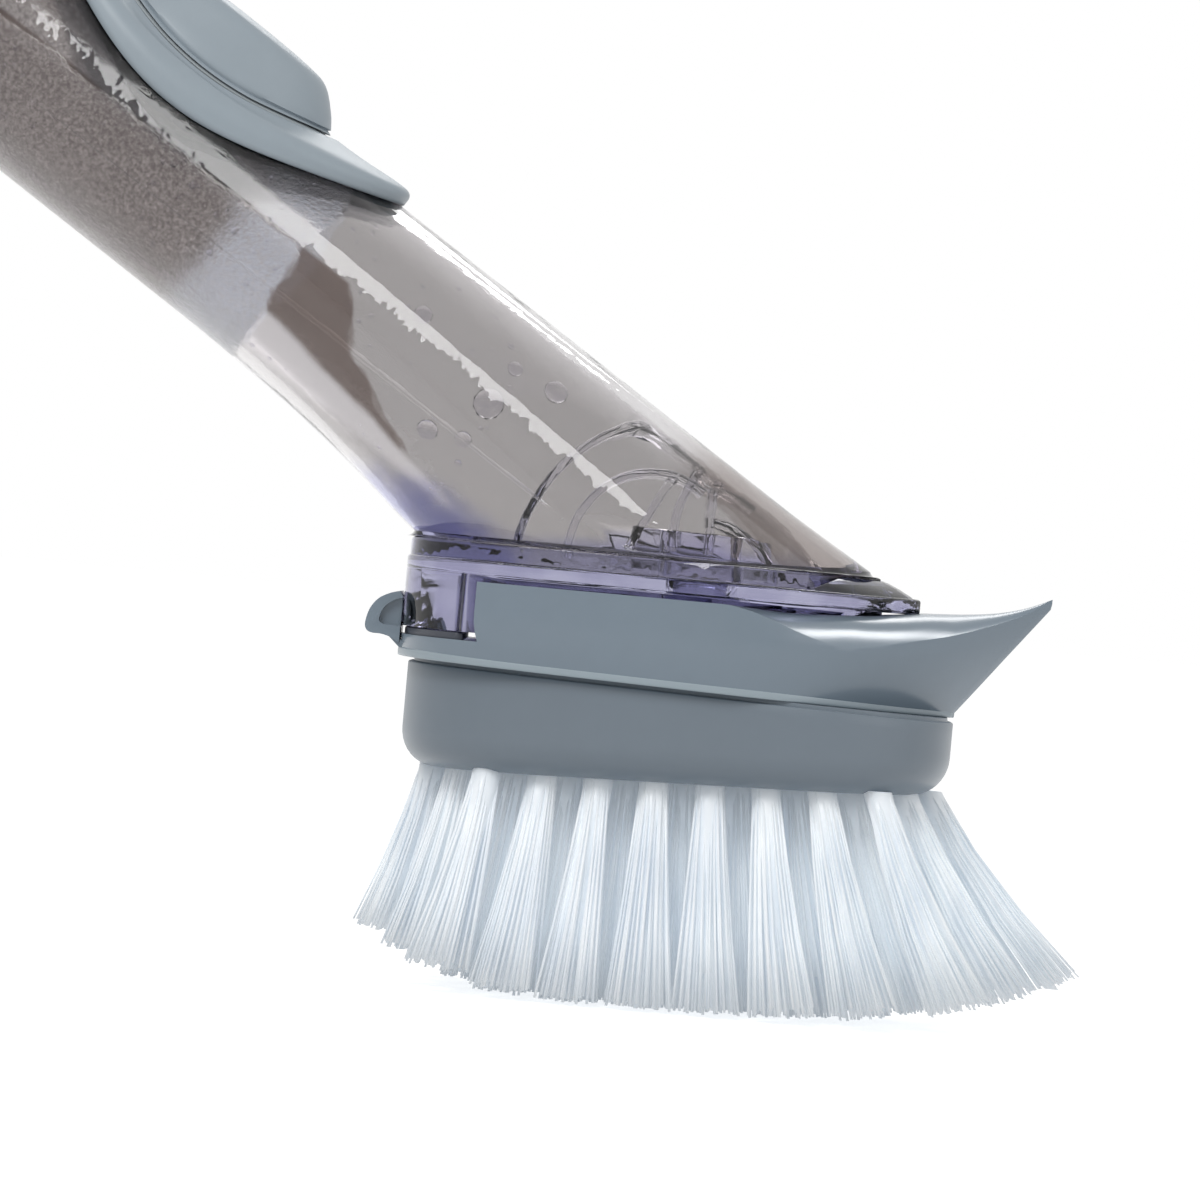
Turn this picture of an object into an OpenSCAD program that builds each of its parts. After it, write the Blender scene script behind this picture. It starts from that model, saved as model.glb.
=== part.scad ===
// Dish wand: a clear handle that holds soap, a soft pump button, a screw cap with a
// hanging hole, and a clip-on brush head with a scraper nose and a release tab.
// Millimetres. The bristle tips stand on z = 0, the scraper points along +x,
// and the handle rises towards -x.

/* [Handle] */
// Slope of the handle above the brush head, in degrees
handle_angle = 33.2; // [30:0.2:38]
// Width of the handle across the hand
handle_width = 34; // [31:0.5:38]
// Depth of the handle from its top edge to its underside
handle_depth = 29.5; // [28:0.5:33]
// Length of the full section, from the front corner to the shoulder
handle_length = 167; // [155:1:190]
// Length of the shoulder that narrows to the neck
shoulder_length = 6; // [4:0.5:10]
// Wall of the clear handle
handle_wall = 1.8; // [1.4:0.1:2.4]
// Where the handle's top edge meets the flange, ahead of the head's centre
corner_x = 22.6; // [20:0.2:24]
// Distance up the handle at which the flared skirt runs out
skirt_reach = 68; // [60:1:76]
// Half width of the skirt where it meets the flange
skirt_half = 20.5; // [19:0.5:22]

/* [Neck and cap] */
// Outer radius of the threaded neck
neck_r = 10; // [9:0.2:10.6]
// Length of the neck beyond the shoulder
neck_length = 12; // [11:0.5:15]
// Pitch of the cap's thread
thread_pitch = 4; // [3.6:0.1:4.6]
// Turns of the thread
thread_turns = 1.5; // [1.25:0.25:1.75]
// Height of the thread's ridge
thread_height = 1.2; // [1:0.05:1.4]
// Gap between a thread's crest and the wall that it faces
thread_gap = 0.4; // [0.3:0.05:0.5]
// Wall of the cap round its thread
cap_wall = 2.9; // [2.2:0.1:3.2]
// Thickness of the cap's end
cap_end = 2.2; // [1.8:0.1:3]
// Number of grip ribs round the cap
grip_count = 18; // [12:2:24]
// Radius of the hanging lug
lug_r = 8; // [7:0.5:9]
// Thickness of the hanging lug
lug_thick = 4.6; // [3.6:0.2:6]
// Diameter of the hanging hole
hang_hole_d = 7; // [5:0.5:9]
// Thickness of the cap's gasket
gasket_thick = 1.4; // [1:0.1:2]

/* [Flanges and base] */
// Height of the tray's rim above the table
rim_z = 53.6; // [53:0.1:54.2]
// Gap between the tray's rim and the base flange
rim_gap = 0.7; // [0.5:0.1:1]
// Thickness of the base flange
base_flange = 2.1; // [1.8:0.1:2.6]
// Thickness of the handle's own flange
handle_flange = 2.4; // [2:0.1:3]
// Rear end of the flanges
flange_rear = 38.9; // [37:0.1:40]
// Tip of the pointed base flange
flange_tip = 29.7; // [28.5:0.1:30]
// How far the handle's flange stops short of that tip
flange_step = 3.7; // [2.5:0.1:5]
// Half width of the base flange
flange_half = 23.6; // [22.5:0.1:24.5]
// Depth of the base block below its flange
base_depth = 7.4; // [6.5:0.1:7.6]
// Wall of the clear base block
base_wall = 2; // [1.6:0.1:2.6]
// Side of the square window in the base block
window_side = 4.6; // [3.5:0.1:5]
// Radius of the nose bar that the tray hooks over
nose_r = 1.6; // [1.3:0.1:1.8]
// Distance of the nose bar ahead of the head's centre
nose_x = 28; // [27:0.2:28.6]
// Half length of the nose bar
nose_half = 3.2; // [2.4:0.1:3.4]

/* [Soap outlet] */
// Radius of the outlet boss
boss_r = 9.5; // [9:0.1:10.5]
// Radius of the soap valve's disc
valve_r = 7; // [6.4:0.1:7.4]
// Thickness of the soap valve's disc
valve_thick = 1.6; // [1.2:0.1:2]
// Radius of the hole above the valve
outlet_r = 4.5; // [3.5:0.1:5]
// Length of the valve's cross slit
slit_length = 5; // [3:0.5:6]
// Radius of the larger support arch inside the handle
arch_r = 17; // [15:0.2:18]
// Thickness of the support arches
arch_thick = 1.3; // [1:0.1:1.8]
// Middle of the larger arch, ahead of the head's centre
arch_x = -7; // [-8:0.2:-6]
// Height of the boss inside the handle
boss_rise = 6; // [4:0.5:8]

/* [Pump button] */
// Distance of the button's centre up the handle
button_at = 111; // [106:1:116]
// Half length of the button
button_half_l = 18.4; // [17:0.2:19.4]
// Half width of the button at its foot
button_half_w = 11.6; // [11:0.2:12]
// Height of the button's top above the handle's top edge
button_top = 7.2; // [6.4:0.2:8]
// Travel of the button
button_travel = 3; // [2:0.5:3.5]
// Half length of the collar, without its brim
collar_half_l = 27; // [26:0.2:28.6]
// Half width of the collar
collar_half_w = 15; // [14.8:0.1:15.4]
// Thickness of the collar
collar_thick = 2.2; // [2.1:0.1:2.8]
// How far the brim juts past the collar
brim_reach = 4.6; // [3:0.2:6]
// Thickness of the soft bellows
bellows_thick = 1; // [0.8:0.1:1.2]

/* [Brush head] */
// Half width of the tray at its rim
tray_half = 25; // [24.4:0.1:26]
// Wall of the tray
tray_wall = 2; // [1.6:0.1:2.2]
// Height of the scraper's tip above the table
scraper_z = 58; // [56.5:0.1:60]
// Scraper tip, ahead of the head's centre
scraper_x = 47.2; // [45:0.2:50]
// Front of the tray at its lower edge
tray_front = 35; // [34.4:0.1:37]
// Rear end of the tray's side walls
wall_rear = 30.4; // [29:0.1:32]
// Height of the tray's lower edge at the rear
skirt_rear_z = 42.9; // [42.4:0.1:43]
// Height of the tray's lower edge at the front
skirt_front_z = 41.1; // [40.6:0.1:42]
// Height of the top of the tray's floor
floor_z = 45.8; // [45.5:0.05:46]
// Gap between base and tray
tray_gap = 0.4; // [0.3:0.05:0.5]
// Half width of the release tab
tab_half = 7.6; // [6:0.2:9]
// Height of the release tab's lip above its root
tab_height = 7; // [6:0.2:8]
// Radius of the round root on which the tab bends
tab_root_r = 0.9; // [0.8:0.05:1]

/* [Brush block and bristles] */
// Half width of the brush block
block_half = 22.6; // [22:0.1:23.4]
// Rear end of the brush block
block_rear = 37.6; // [37:0.1:38.4]
// Front end of the brush block
block_front = 35.4; // [34.6:0.1:36]
// Height of the block's underside at the head's centre
root_z = 29.6; // [28:0.1:30.6]
// Rise of the block's underside towards the scraper, in degrees
root_tilt = 1.8; // [0:0.1:2.4]
// Radius of the rounding round the block's underside
block_round = 5; // [3.5:0.1:5.6]
// Spacing of the tufts along a row
tuft_pitch = 7.3; // [7:0.1:7.6]
// Spacing of the rows
row_pitch = 8; // [7.4:0.1:8.2]
// Width of the strip that holds a row of tufts
strip_width = 5.4; // [5:0.1:6]
// Thickness of that strip
strip_thick = 3; // [2.4:0.1:4]
// Length of the longest bristles
bristle_length = 30.4; // [30.2:0.1:32]
// Thickness of one modelled strand
strand_thick = 0.8; // [0.6:0.05:0.9]
// Radius of a tuft at its root
tuft_r = 1.45; // [1.3:0.05:1.6]
// Strands in the ring of a tuft, round its middle one
ring_strands = 8; // [7:1:8]
// Radius of the soap channel where it leaves the block
channel_r = 1.5; // [1:0.1:1.6]

/* [Fits] */
// Running gap of a round root or bar in its seat
pivot_gap = 0.05; // [0.03:0.01:0.08]
// Gap round a piece that moves past another
moving_gap = 0.4; // [0.3:0.05:0.5]
// Gap round a piece that sits in a pocket
seat_gap = 0.1; // [0.05:0.05:0.15]

/* [Hidden] */
$fn = 48;
eps = 0.01;

clear_tint = [0.80, 0.80, 0.86, 0.55];
base_tint = [0.66, 0.63, 0.78, 0.7];
grey = [0.50, 0.55, 0.58];
dark_grey = [0.40, 0.44, 0.47];
soft_grey = [0.60, 0.63, 0.65];
nylon = [0.93, 0.94, 0.96];

// Levels of the base, from the table upwards
flange_z = rim_z + rim_gap;
seam_z = flange_z + base_flange;
top_z = seam_z + handle_flange;
block_z = flange_z - base_depth;
mid_t = -handle_depth / 2;

// Stations along the handle
shoulder_end = handle_length + shoulder_length;
neck_end = shoulder_end + neck_length;
neck_bore = neck_r - handle_wall;
shoulder_r = neck_r + thread_height + 0.4;
crest_r = neck_r + thread_height;
cap_bore = crest_r + thread_gap;
cap_crest = neck_r + thread_gap;
cap_r = cap_bore + cap_wall;
cap_start = shoulder_end + 0.6;
cap_floor = neck_end + gasket_thick + 2 * seat_gap;
cap_top = cap_floor + cap_end;
lug_at = cap_top + lug_r - 2;
thread_from = shoulder_end + 3.2;
thread_tooth = thread_pitch * 0.36;
// Height over the handle's top edge of its surface, grown by g, at y from the middle
function on_handle(g, y) =
    mid_t + (handle_depth / 2 + g) * sqrt(1 - pow(y / (handle_width / 2 + g), 2));
dome_low = bellows_thick + seat_gap + moving_gap;
slot_low = on_handle(-handle_wall, button_half_w + 2 * moving_gap) - 0.6;

// Bristle rows: tufts in each row, and where each tuft and strand goes
row_tufts = [8, 9, 10, 9, 8];
function tuft_x(row, i) = (i - (row_tufts[row] - 1) / 2) * tuft_pitch;
function tuft_y(row) = (row - 2) * row_pitch;
function root_height(x) = root_z + x * tan(root_tilt);
function lean_x(x) =
    let (u = x / tuft_pitch) 2 + (u < 0 ? 3.285 * u : 2.555 * u + 1.172 * u * u);
function lean_y(y) = 5.76 * y / row_pitch;
function strand_len(x) =
    let (u = x / tuft_pitch + 1.1) bristle_length - (u < 0 ? 0.0876 * tuft_pitch * u * u : 0);
function wobble(a, b) = sin(a * 137.5 + b * 71.3);
// Each strand is its root point and its tip point; tips that would pass z = 0 stop there
function strand(row, i, k) =
    let (
        cx = tuft_x(row, i),
        cy = tuft_y(row),
        turn = k * 360 / ring_strands + 21 * i + 13 * row,
        out = k == ring_strands ? 0 : 1,
        rx = cx + out * tuft_r * cos(turn),
        ry = cy + out * tuft_r * sin(turn),
        ax = lean_x(cx) + out * 3.4 * cos(turn) + 0.4 * wobble(i + row, k),
        ay = lean_y(cy) + out * 3.4 * sin(turn) + 0.4 * wobble(k, i - row),
        rz = root_height(rx),
        full = (strand_len(cx) - strand_thick * abs(wobble(3 * i, k + row))) * cos(ax) * cos(ay),
        drop = min(full, rz)
    )
    [[rx, ry, rz], [rx + drop * tan(ax), ry + drop * tan(ay), rz - drop]];
tip_front = max([
    for (row = [0:4], i = [0:row_tufts[row] - 1], k = [0:ring_strands])
        strand(row, i, k)[1][0] + strand_thick / 2
]);

// The origin lies under the middle of the whole wand
rear_end = corner_x - lug_at * cos(handle_angle) + mid_t * sin(handle_angle) - lug_r;
shift_x = -(rear_end + max(tip_front, scraper_x)) / 2;

// Curves in plan. A plan runs from a rounded rear end to a rounded or pointed front.
function arc_rear(rear, from, half, power, n) = [
    for (i = [0:n])
        let (a = 90 * i / n)
        [-from - (rear - from) * pow(sin(a), 2 / power), half * pow(cos(a), 2 / power)]
];
function plan(rear, rear_from, front_from, front, half, round_rear = 2.6, point = 2) =
    let (
        n = 9,
        back = arc_rear(rear, rear_from, half, round_rear, n),
        nose = [
            for (i = [0:n])
                let (u = i / n)
                [front_from + (front - front_from) * u, half * (1 - pow(u, point))]
        ],
        side = concat(
            [for (i = [n:-1:0]) back[i]],
            nose
        )
    )
    concat(side, [for (i = [len(side) - 2:-1:1]) [side[i][0], -side[i][1]]]);
function blunt_plan(rear, rear_from, front_from, front, half, round_ends = 2.6) =
    let (
        n = 9,
        back = arc_rear(rear, rear_from, half, round_ends, n),
        nose = [for (p = arc_rear(front, front_from, half, round_ends, n)) [-p[0], p[1]]],
        side = concat([for (i = [n:-1:0]) back[i]], nose)
    )
    concat(side, [for (i = [len(side) - 2:-1:1]) [side[i][0], -side[i][1]]]);
function oval(a, b, n = 36) = [
    for (i = [0:n - 1]) [a * cos(360 * i / n), b * sin(360 * i / n)]
];

module slab(points, z, thick) {
    translate([0, 0, z]) linear_extrude(thick) polygon(points);
}

// Puts its children in the handle's frame: z runs up the handle from the front corner,
// x points out of its top edge
module along_handle(s = 0) {
    translate([corner_x, 0, top_z])
        rotate([0, handle_angle - 90, 0])
            translate([0, 0, s]) children();
}

// Puts its children over the pump button: z points out of the handle, x at the head
module at_button() {
    along_handle(button_at) rotate([0, 90, 0]) children();
}

// The handle's oval section, grown by a given amount, from one station to another
module handle_bar(grow, from, to) {
    along_handle(from)
        translate([mid_t, 0, 0])
            linear_extrude(to - from)
                polygon(oval(handle_depth / 2 + grow, handle_width / 2 + grow, 48));
}

// A plate that lies on the handle's curved top, between two growths, inside an outline
module draped(low, high, points) {
    intersection() {
        difference() {
            handle_bar(high, button_at - 45, button_at + 45);
            handle_bar(low, button_at - 46, button_at + 46);
        }
        at_button() translate([0, 0, -handle_depth / 2 + 2])
            linear_extrude(handle_depth) polygon(points);
    }
}

module button_slot(grow, low, high) {
    at_button() translate([0, 0, low])
        linear_extrude(high - low) polygon(oval(button_half_l + grow, button_half_w + grow));
}

// A ridge that winds round z, as a closed tube of four-cornered rings
module thread(root_r, tip_r, low, turns) {
    steps = round(turns * 24);
    foot = thread_tooth / 2;
    crest = foot * 0.45;
    function ring(i) =
        let (
            a = 360 * turns * i / steps,
            z = low + thread_pitch * turns * i / steps,
            fade = i == 0 || i == steps ? 0.12 : 1,
            tip = root_r + (tip_r - root_r) * fade
        )
        [
            [root_r * cos(a), root_r * sin(a), z - foot],
            [tip * cos(a), tip * sin(a), z - crest],
            [tip * cos(a), tip * sin(a), z + crest],
            [root_r * cos(a), root_r * sin(a), z + foot]
        ];
    points = [for (i = [0:steps]) each ring(i)];
    outward = tip_r > root_r;
    sides = [
        for (i = [0:steps - 1], j = [0:3])
            let (
                a = 4 * i + j,
                b = 4 * i + (j + 1) % 4,
                c = 4 * (i + 1) + (j + 1) % 4,
                d = 4 * (i + 1) + j
            )
            each (outward ? [[a, b, c], [a, c, d]] : [[a, c, b], [a, d, c]])
    ];
    last = 4 * steps;
    ends = outward
        ? [[0, 2, 1], [0, 3, 2], [last, last + 1, last + 2], [last, last + 2, last + 3]]
        : [[0, 1, 2], [0, 2, 3], [last, last + 2, last + 1], [last, last + 3, last + 2]];
    polyhedron(points, concat(sides, ends), convexity = 6);
}

// Rings of the clear shell, all with the same number of points, counted from the front
ring_points = 48;
skirt_mid = corner_x - handle_depth / 2 / sin(handle_angle);
function oval_ring(s, a, b) = [
    for (i = [0:ring_points - 1])
        let (
            turn = 360 * i / ring_points,
            t = mid_t + a * cos(turn)
        )
        [
            corner_x - s * cos(handle_angle) + t * sin(handle_angle),
            b * sin(turn),
            top_z + s * sin(handle_angle) + t * cos(handle_angle)
        ]
];
function foot_ring(z, inset) = [
    for (i = [0:ring_points - 1])
        let (
            turn = 360 * i / ring_points,
            c = cos(turn),
            s = sin(turn),
            front = (handle_depth / 2 - inset) / sin(handle_angle),
            rear = skirt_mid + flange_rear - 0.6 - inset,
            side = handle_width / 2 + (skirt_half - handle_width / 2) * s * s - inset,
            bent = pow(abs(s), 0.8) * sign(s)
        )
        c >= 0
            ? [skirt_mid + front * c, side * s, z]
            : [skirt_mid - rear * pow(-c, 0.8), side * bent, z]
];
function flange_ring(z) = [
    for (i = [0:ring_points - 1])
        let (
            turn = 360 * i / ring_points,
            c = cos(turn),
            s = sin(turn),
            half = flange_half - 1.2,
            ahead = flange_tip - flange_step - skirt_mid,
            behind = skirt_mid + flange_rear - 0.3
        )
        c >= 0
            ? [skirt_mid + ahead * c, half * sign(s) * (1 - pow(c, 2.4)), z]
            : [skirt_mid - behind * pow(-c, 0.7), half * sign(s) * pow(abs(s), 0.75), z]
];
function shell_rings(inset, end_r, end_s) =
    let (
        a = handle_depth / 2 - inset,
        b = handle_width / 2 - inset,
        bend = shoulder_length - inset * 0.6
    )
    [
        oval_ring(skirt_reach, a, b),
        oval_ring(handle_length, a, b),
        oval_ring(handle_length + bend * 0.4, a - (a - end_r) * 0.12, b - (b - end_r) * 0.12),
        oval_ring(handle_length + bend * 0.8, a - (a - end_r) * 0.5, b - (b - end_r) * 0.5),
        oval_ring(end_s, end_r, end_r)
    ];
function outer_rings() = concat(
    [flange_ring(seam_z), flange_ring(top_z), foot_ring(top_z, 0)],
    shell_rings(0, shoulder_r, shoulder_end)
);
function inner_rings() = concat(
    [
        foot_ring(seam_z, handle_wall),
        foot_ring(top_z - 1, handle_wall),
        foot_ring(top_z, handle_wall)
    ],
    shell_rings(handle_wall, (neck_r + neck_bore) / 2, shoulder_end)
);

// Joins two stacks of rings, one inside the other, into a closed shell
module ring_shell(outside, inside) {
    n = ring_points;
    rows = len(outside);
    points = [for (stack = [outside, inside]) each [for (ring = stack) each ring]];
    function wall(base, flip) = [
        for (r = [0:rows - 2], i = [0:n - 1])
            let (
                a = base + r * n + i,
                b = base + r * n + (i + 1) % n,
                c = b + n,
                d = a + n
            )
            each (flip ? [[a, b, c], [a, c, d]] : [[a, c, b], [a, d, c]])
    ];
    function rim(base_a, base_b, flip) = [
        for (i = [0:n - 1])
            let (
                a = base_a + i,
                b = base_a + (i + 1) % n,
                c = base_b + (i + 1) % n,
                d = base_b + i
            )
            each (flip ? [[a, b, c], [a, c, d]] : [[a, c, b], [a, d, c]])
    ];
    half = rows * n;
    last = (rows - 1) * n;
    polyhedron(
        points,
        concat(
            wall(0, false), wall(half, true), rim(0, half, true), rim(last, half + last, false)
        ),
        convexity = 8
    );
}

// Clear handle and soap reservoir, open at its foot, its neck and under the button
module bottle() {
    color(clear_tint)
        translate([shift_x, 0, 0])
            difference() {
                union() {
                    ring_shell(outer_rings(), inner_rings());
                    along_handle(0) translate([mid_t, 0, 0]) {
                        difference() {
                            translate([0, 0, shoulder_end - 1.5])
                                cylinder(r = neck_r, h = neck_length + 1.5);
                            translate([0, 0, shoulder_end - 3])
                                cylinder(r = neck_bore, h = neck_length + 4);
                        }
                        thread(neck_r - 0.5, crest_r, thread_from, thread_turns);
                    }
                }
                button_slot(2 * moving_gap, slot_low, 4);
            }
}

// Clear base: pointed flange, hollow block, outlet boss and the nose bar in front
module base_plate() {
    block_half_w = flange_half - 0.2;
    plug_half = tray_half - tray_wall - tray_gap - 0.2;
    color(base_tint)
        translate([shift_x, 0, 0])
            difference() {
                union() {
                    slab(
                        plan(flange_rear, 16, 2, flange_tip, flange_half, 2.8, 2.2),
                        flange_z, base_flange
                    );
                    intersection() {
                        slab(
                            plan(flange_rear, 16, 2, flange_tip, block_half_w, 2.8, 2.2),
                            block_z, base_depth + eps
                        );
                        translate([-flange_rear - 1, -30, block_z])
                            cube([flange_rear + 1 - wall_rear - tray_gap, 60, base_depth + eps]);
                    }
                    slab(
                        plan(wall_rear + 2, wall_rear, -2, flange_tip - 5, plug_half, 2, 2),
                        block_z, base_depth + eps
                    );
                    translate([nose_x, 0, nose_z()]) rotate([90, 0, 0])
                        cylinder(r = nose_r, h = 2 * nose_half, center = true);
                    translate([nose_x - 8, -nose_half, nose_z() - nose_r * 0.45])
                        cube([8, 2 * nose_half, nose_r * 0.9]);
                }
                base_hollows();
                outlet_bores();
                for (side = [-1, 1])
                    translate([-wall_rear - tray_gap - window_side - 1, side * flange_half, block_z + 1.8])
                        translate([0, -3, 0]) cube([window_side, 6, window_side]);
                // The catch of the release tab clicks in here
                translate([-flange_rear - 1, -catch_half() - moving_gap, catch_z() - 1.2])
                    cube([1 + catch_depth() + 0.5, 2 * (catch_half() + moving_gap), 2.4]);
            }
}

function nose_z() = block_z + nose_r + 0.1;
function catch_half() = tab_half * 0.6;
function catch_z() = block_z + 2.2;
function catch_depth() = 0.8;

module base_hollows() {
    inner = tray_half - tray_wall - tray_gap - 0.2 - base_wall;
    difference() {
        slab(
            plan(
                flange_rear - 2 * base_wall - 0.6, 20, -6,
                flange_tip - 5 - 3.4 * base_wall, inner, 2.4, 2
            ),
            block_z - 1, base_depth + 1
        );
        translate([0, 0, block_z - 2]) cylinder(r = boss_r, h = base_depth + 3);
        for (side = [-1, 1])
            translate([-30, side * inner * 0.5 - base_wall / 2, block_z - 2])
                cube([60, base_wall, base_depth + 3]);
    }
}

module outlet_bores() {
    translate([0, 0, block_z - 1])
        cylinder(r = valve_r + seat_gap, h = base_depth + 1 - 1.2);
    translate([0, 0, block_z - 1]) cylinder(r = outlet_r, h = base_depth + base_flange + 2);
}

// Clear support arches and collar that stand on the base inside the handle
module outlet_chamber() {
    low = seam_z;
    color(clear_tint)
        translate([shift_x, 0, 0])
            difference() {
                union() {
                    translate([0, 0, low]) cylinder(r = boss_r, h = boss_rise);
                    difference() {
                        intersection() {
                            union() {
                                arch(arch_r, arch_x, arch_r * 0.7);
                                arch(arch_r * 0.7, arch_x + arch_r * 0.18, arch_r * 0.9);
                                for (y = [-boss_r * 0.63, boss_r * 0.63])
                                    translate([arch_x - arch_r, y - arch_thick / 2, low])
                                        cube([2 * arch_r, arch_thick, arch_r]);
                            }
                            translate([arch_x, 0, low]) rotate([90, 0, 0])
                                cylinder(r = arch_r, h = 40, center = true);
                            chamber_room();
                        }
                        translate([arch_x - arch_r * 0.24, 0, low]) rotate([90, 0, 0])
                            cylinder(r = arch_r * 0.36, h = 4 * arch_r, center = true);
                    }
                }
                translate([0, 0, low - 1]) cylinder(r = outlet_r, h = boss_rise + arch_r);
            }
}

module arch(r, x, width) {
    translate([x, 0, seam_z]) rotate([90, 0, 0])
        difference() {
            cylinder(r = r, h = 2 * width, center = true);
            cylinder(r = r - arch_thick, h = 2 * width + 1, center = true);
        }
}

// The room inside the handle's skirt, a little smaller, as a bound for the arches
module chamber_room() {
    intersection() {
        handle_bar(-handle_wall - 0.35, -10, handle_length);
        translate([-60, -30, seam_z]) cube([120, 60, 60]);
    }
}

// Silicone disc with a cross slit that opens under pressure
module soap_valve() {
    top = flange_z - 1.2 - seat_gap;
    color(soft_grey)
        translate([shift_x, 0, 0])
            difference() {
                union() {
                    translate([0, 0, top - valve_thick]) cylinder(r = valve_r, h = valve_thick);
                    translate([0, 0, top - valve_thick - 1.4]) cylinder(r = outlet_r - 0.6, h = 1.5);
                }
                translate([0, 0, top - 0.6]) cylinder(r = outlet_r - 0.6, h = 2);
                for (a = [0, 90])
                    rotate([0, 0, a])
                        translate([-slit_length / 2, -0.1, top - valve_thick - 2])
                            cube([slit_length, 0.2, 6]);
            }
}

// Ring that presses the valve up against its seat
module valve_retainer() {
    top = flange_z - 1.2 - seat_gap - valve_thick;
    color(base_tint)
        translate([shift_x, 0, 0])
            difference() {
                translate([0, 0, block_z + 0.6]) cylinder(r = valve_r, h = top - block_z - 0.6);
                translate([0, 0, block_z]) cylinder(r = outlet_r, h = base_depth);
            }
}

// Soft ring between the outlet and the tray's floor
module outlet_seal() {
    color(soft_grey)
        translate([shift_x, 0, floor_z + moving_gap / 2])
            difference() {
                cylinder(r = boss_r - 1, h = block_z - floor_z - moving_gap / 2);
                translate([0, 0, -1]) cylinder(r = valve_r - 1.6, h = base_depth);
            }
}

// Collar draped over the handle, with a brim that points at the head
module button_collar() {
    color(grey)
        translate([shift_x, 0, 0])
            difference() {
                draped(seat_gap, collar_thick, collar_outline());
                draped(
                    -1, bellows_thick + 2 * seat_gap,
                    oval(collar_half_l - 3.4, collar_half_w - 1.2)
                );
                button_slot(moving_gap, -handle_depth / 2, 10);
            }
}

// The collar's oval with its brim, which points along +x
function collar_outline() = [
    for (p = oval(1, 1, 48))
        [
            p[0] * collar_half_l + (p[0] > 0 ? brim_reach * pow(p[0], 5) : 0),
            p[1] * collar_half_w
        ]
];

// Loaf-shaped button: broad sides, a steep front and a crowned top. Its underside follows the handle.
module button_dome() {
    levels = [
        [0, 1, 1], [0.12, 1, 1], [0.43, 1, 0.89], [0.84, 0.78, 0.73],
        [0.94, 0.7, 0.62], [0.985, 0.6, 0.45], [1, 0.5, 0.25]
    ];
    foot = on_handle(dome_low, button_half_w) - 0.5;
    rise = button_top - foot;
    color(grey)
        translate([shift_x, 0, 0])
            difference() {
                at_button()
                    hull()
                        for (v = levels)
                            translate([0, 0, foot + rise * v[0] - (v[0] == 1 ? eps : 0)])
                                linear_extrude(eps)
                                    polygon(oval(button_half_l * v[1], button_half_w * v[2], 36));
                handle_bar(dome_low, button_at - 45, button_at + 45);
            }
}

// Soft bellows: a sheet that lies under the collar and the button, and a wall down the slot
module button_bellows() {
    low = slot_low + 1.2;
    color(soft_grey)
        translate([shift_x, 0, 0]) {
            draped(
                seat_gap, bellows_thick + seat_gap,
                oval(collar_half_l - 3.6, collar_half_w - 1.4)
            );
            intersection() {
                difference() {
                    button_slot(moving_gap, low, 3);
                    button_slot(moving_gap - bellows_thick, low - 1, 4);
                }
                handle_bar(seat_gap + bellows_thick * 0.6, button_at - 45, button_at + 45);
            }
        }
}

// Ring inside the handle that holds the bellows' rim in place
module clamp_ring() {
    low = -handle_wall - seat_gap;
    color(grey)
        translate([shift_x, 0, 0])
            difference() {
                draped(low - 1.4, low, oval(collar_half_l - 4, collar_half_w - 1.8));
                button_slot(2 * moving_gap, -handle_depth / 2, 10);
            }
}

// Screw cap with grip ribs and a hanging lug
module end_cap() {
    color(grey)
        translate([shift_x, 0, 0])
            along_handle(0) translate([mid_t, 0, 0])
                difference() {
                    union() {
                        difference() {
                            union() {
                                translate([0, 0, cap_start]) cylinder(r = cap_r, h = cap_top - cap_start);
                                for (i = [0:grip_count - 1])
                                    rotate([0, 0, 360 * (i + 0.5) / grip_count])
                                        translate([cap_r - 0.5, -0.6, cap_start + 1.5])
                                            cube([1, 1.2, cap_top - cap_start - 3]);
                                translate([-lug_r, -lug_thick / 2, cap_top - 1])
                                    cube([2 * lug_r, lug_thick, lug_at - cap_top + 1]);
                                translate([0, 0, lug_at]) rotate([90, 0, 0])
                                    cylinder(r = lug_r, h = lug_thick, center = true);
                            }
                            translate([0, 0, cap_start - 1])
                                cylinder(r = cap_bore, h = cap_floor - cap_start + 1);
                        }
                        thread(cap_bore + 0.5, cap_crest, thread_from + thread_pitch / 2, thread_turns);
                    }
                    translate([0, 0, lug_at + 1]) rotate([90, 0, 0])
                        cylinder(d = hang_hole_d, h = lug_thick + 2, center = true);
                }
}

// Flat ring between the neck's end and the cap
module cap_gasket() {
    color(soft_grey)
        translate([shift_x, 0, 0])
            along_handle(neck_end + seat_gap) translate([mid_t, 0, 0])
                difference() {
                    cylinder(r = cap_bore - moving_gap, h = gasket_thick);
                    translate([0, 0, -1]) cylinder(r = neck_bore, h = gasket_thick + 2);
                }
}

// Boat-shaped tray with its raised scraper nose
module tray_outside() {
    // The nose rolls over above this height
    shoulder_z = rim_z - 4.2;
    shoulder_front = tray_front + (scraper_x - tray_front)
        * (shoulder_z - skirt_front_z + 1) / (scraper_z - skirt_front_z + 1);
    hull() {
        slab(plan(flange_rear, 16, 2, tray_front, tray_half - 1.4, 2.8, 2.2), skirt_front_z - 1, eps);
        slab(plan(flange_rear, 16, 2, shoulder_front, tray_half, 2.8, 2), shoulder_z, eps);
        slab(plan(flange_rear, 16, 0, scraper_x, tray_half, 2.8, 1.5), scraper_z - eps, eps);
    }
}

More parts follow.
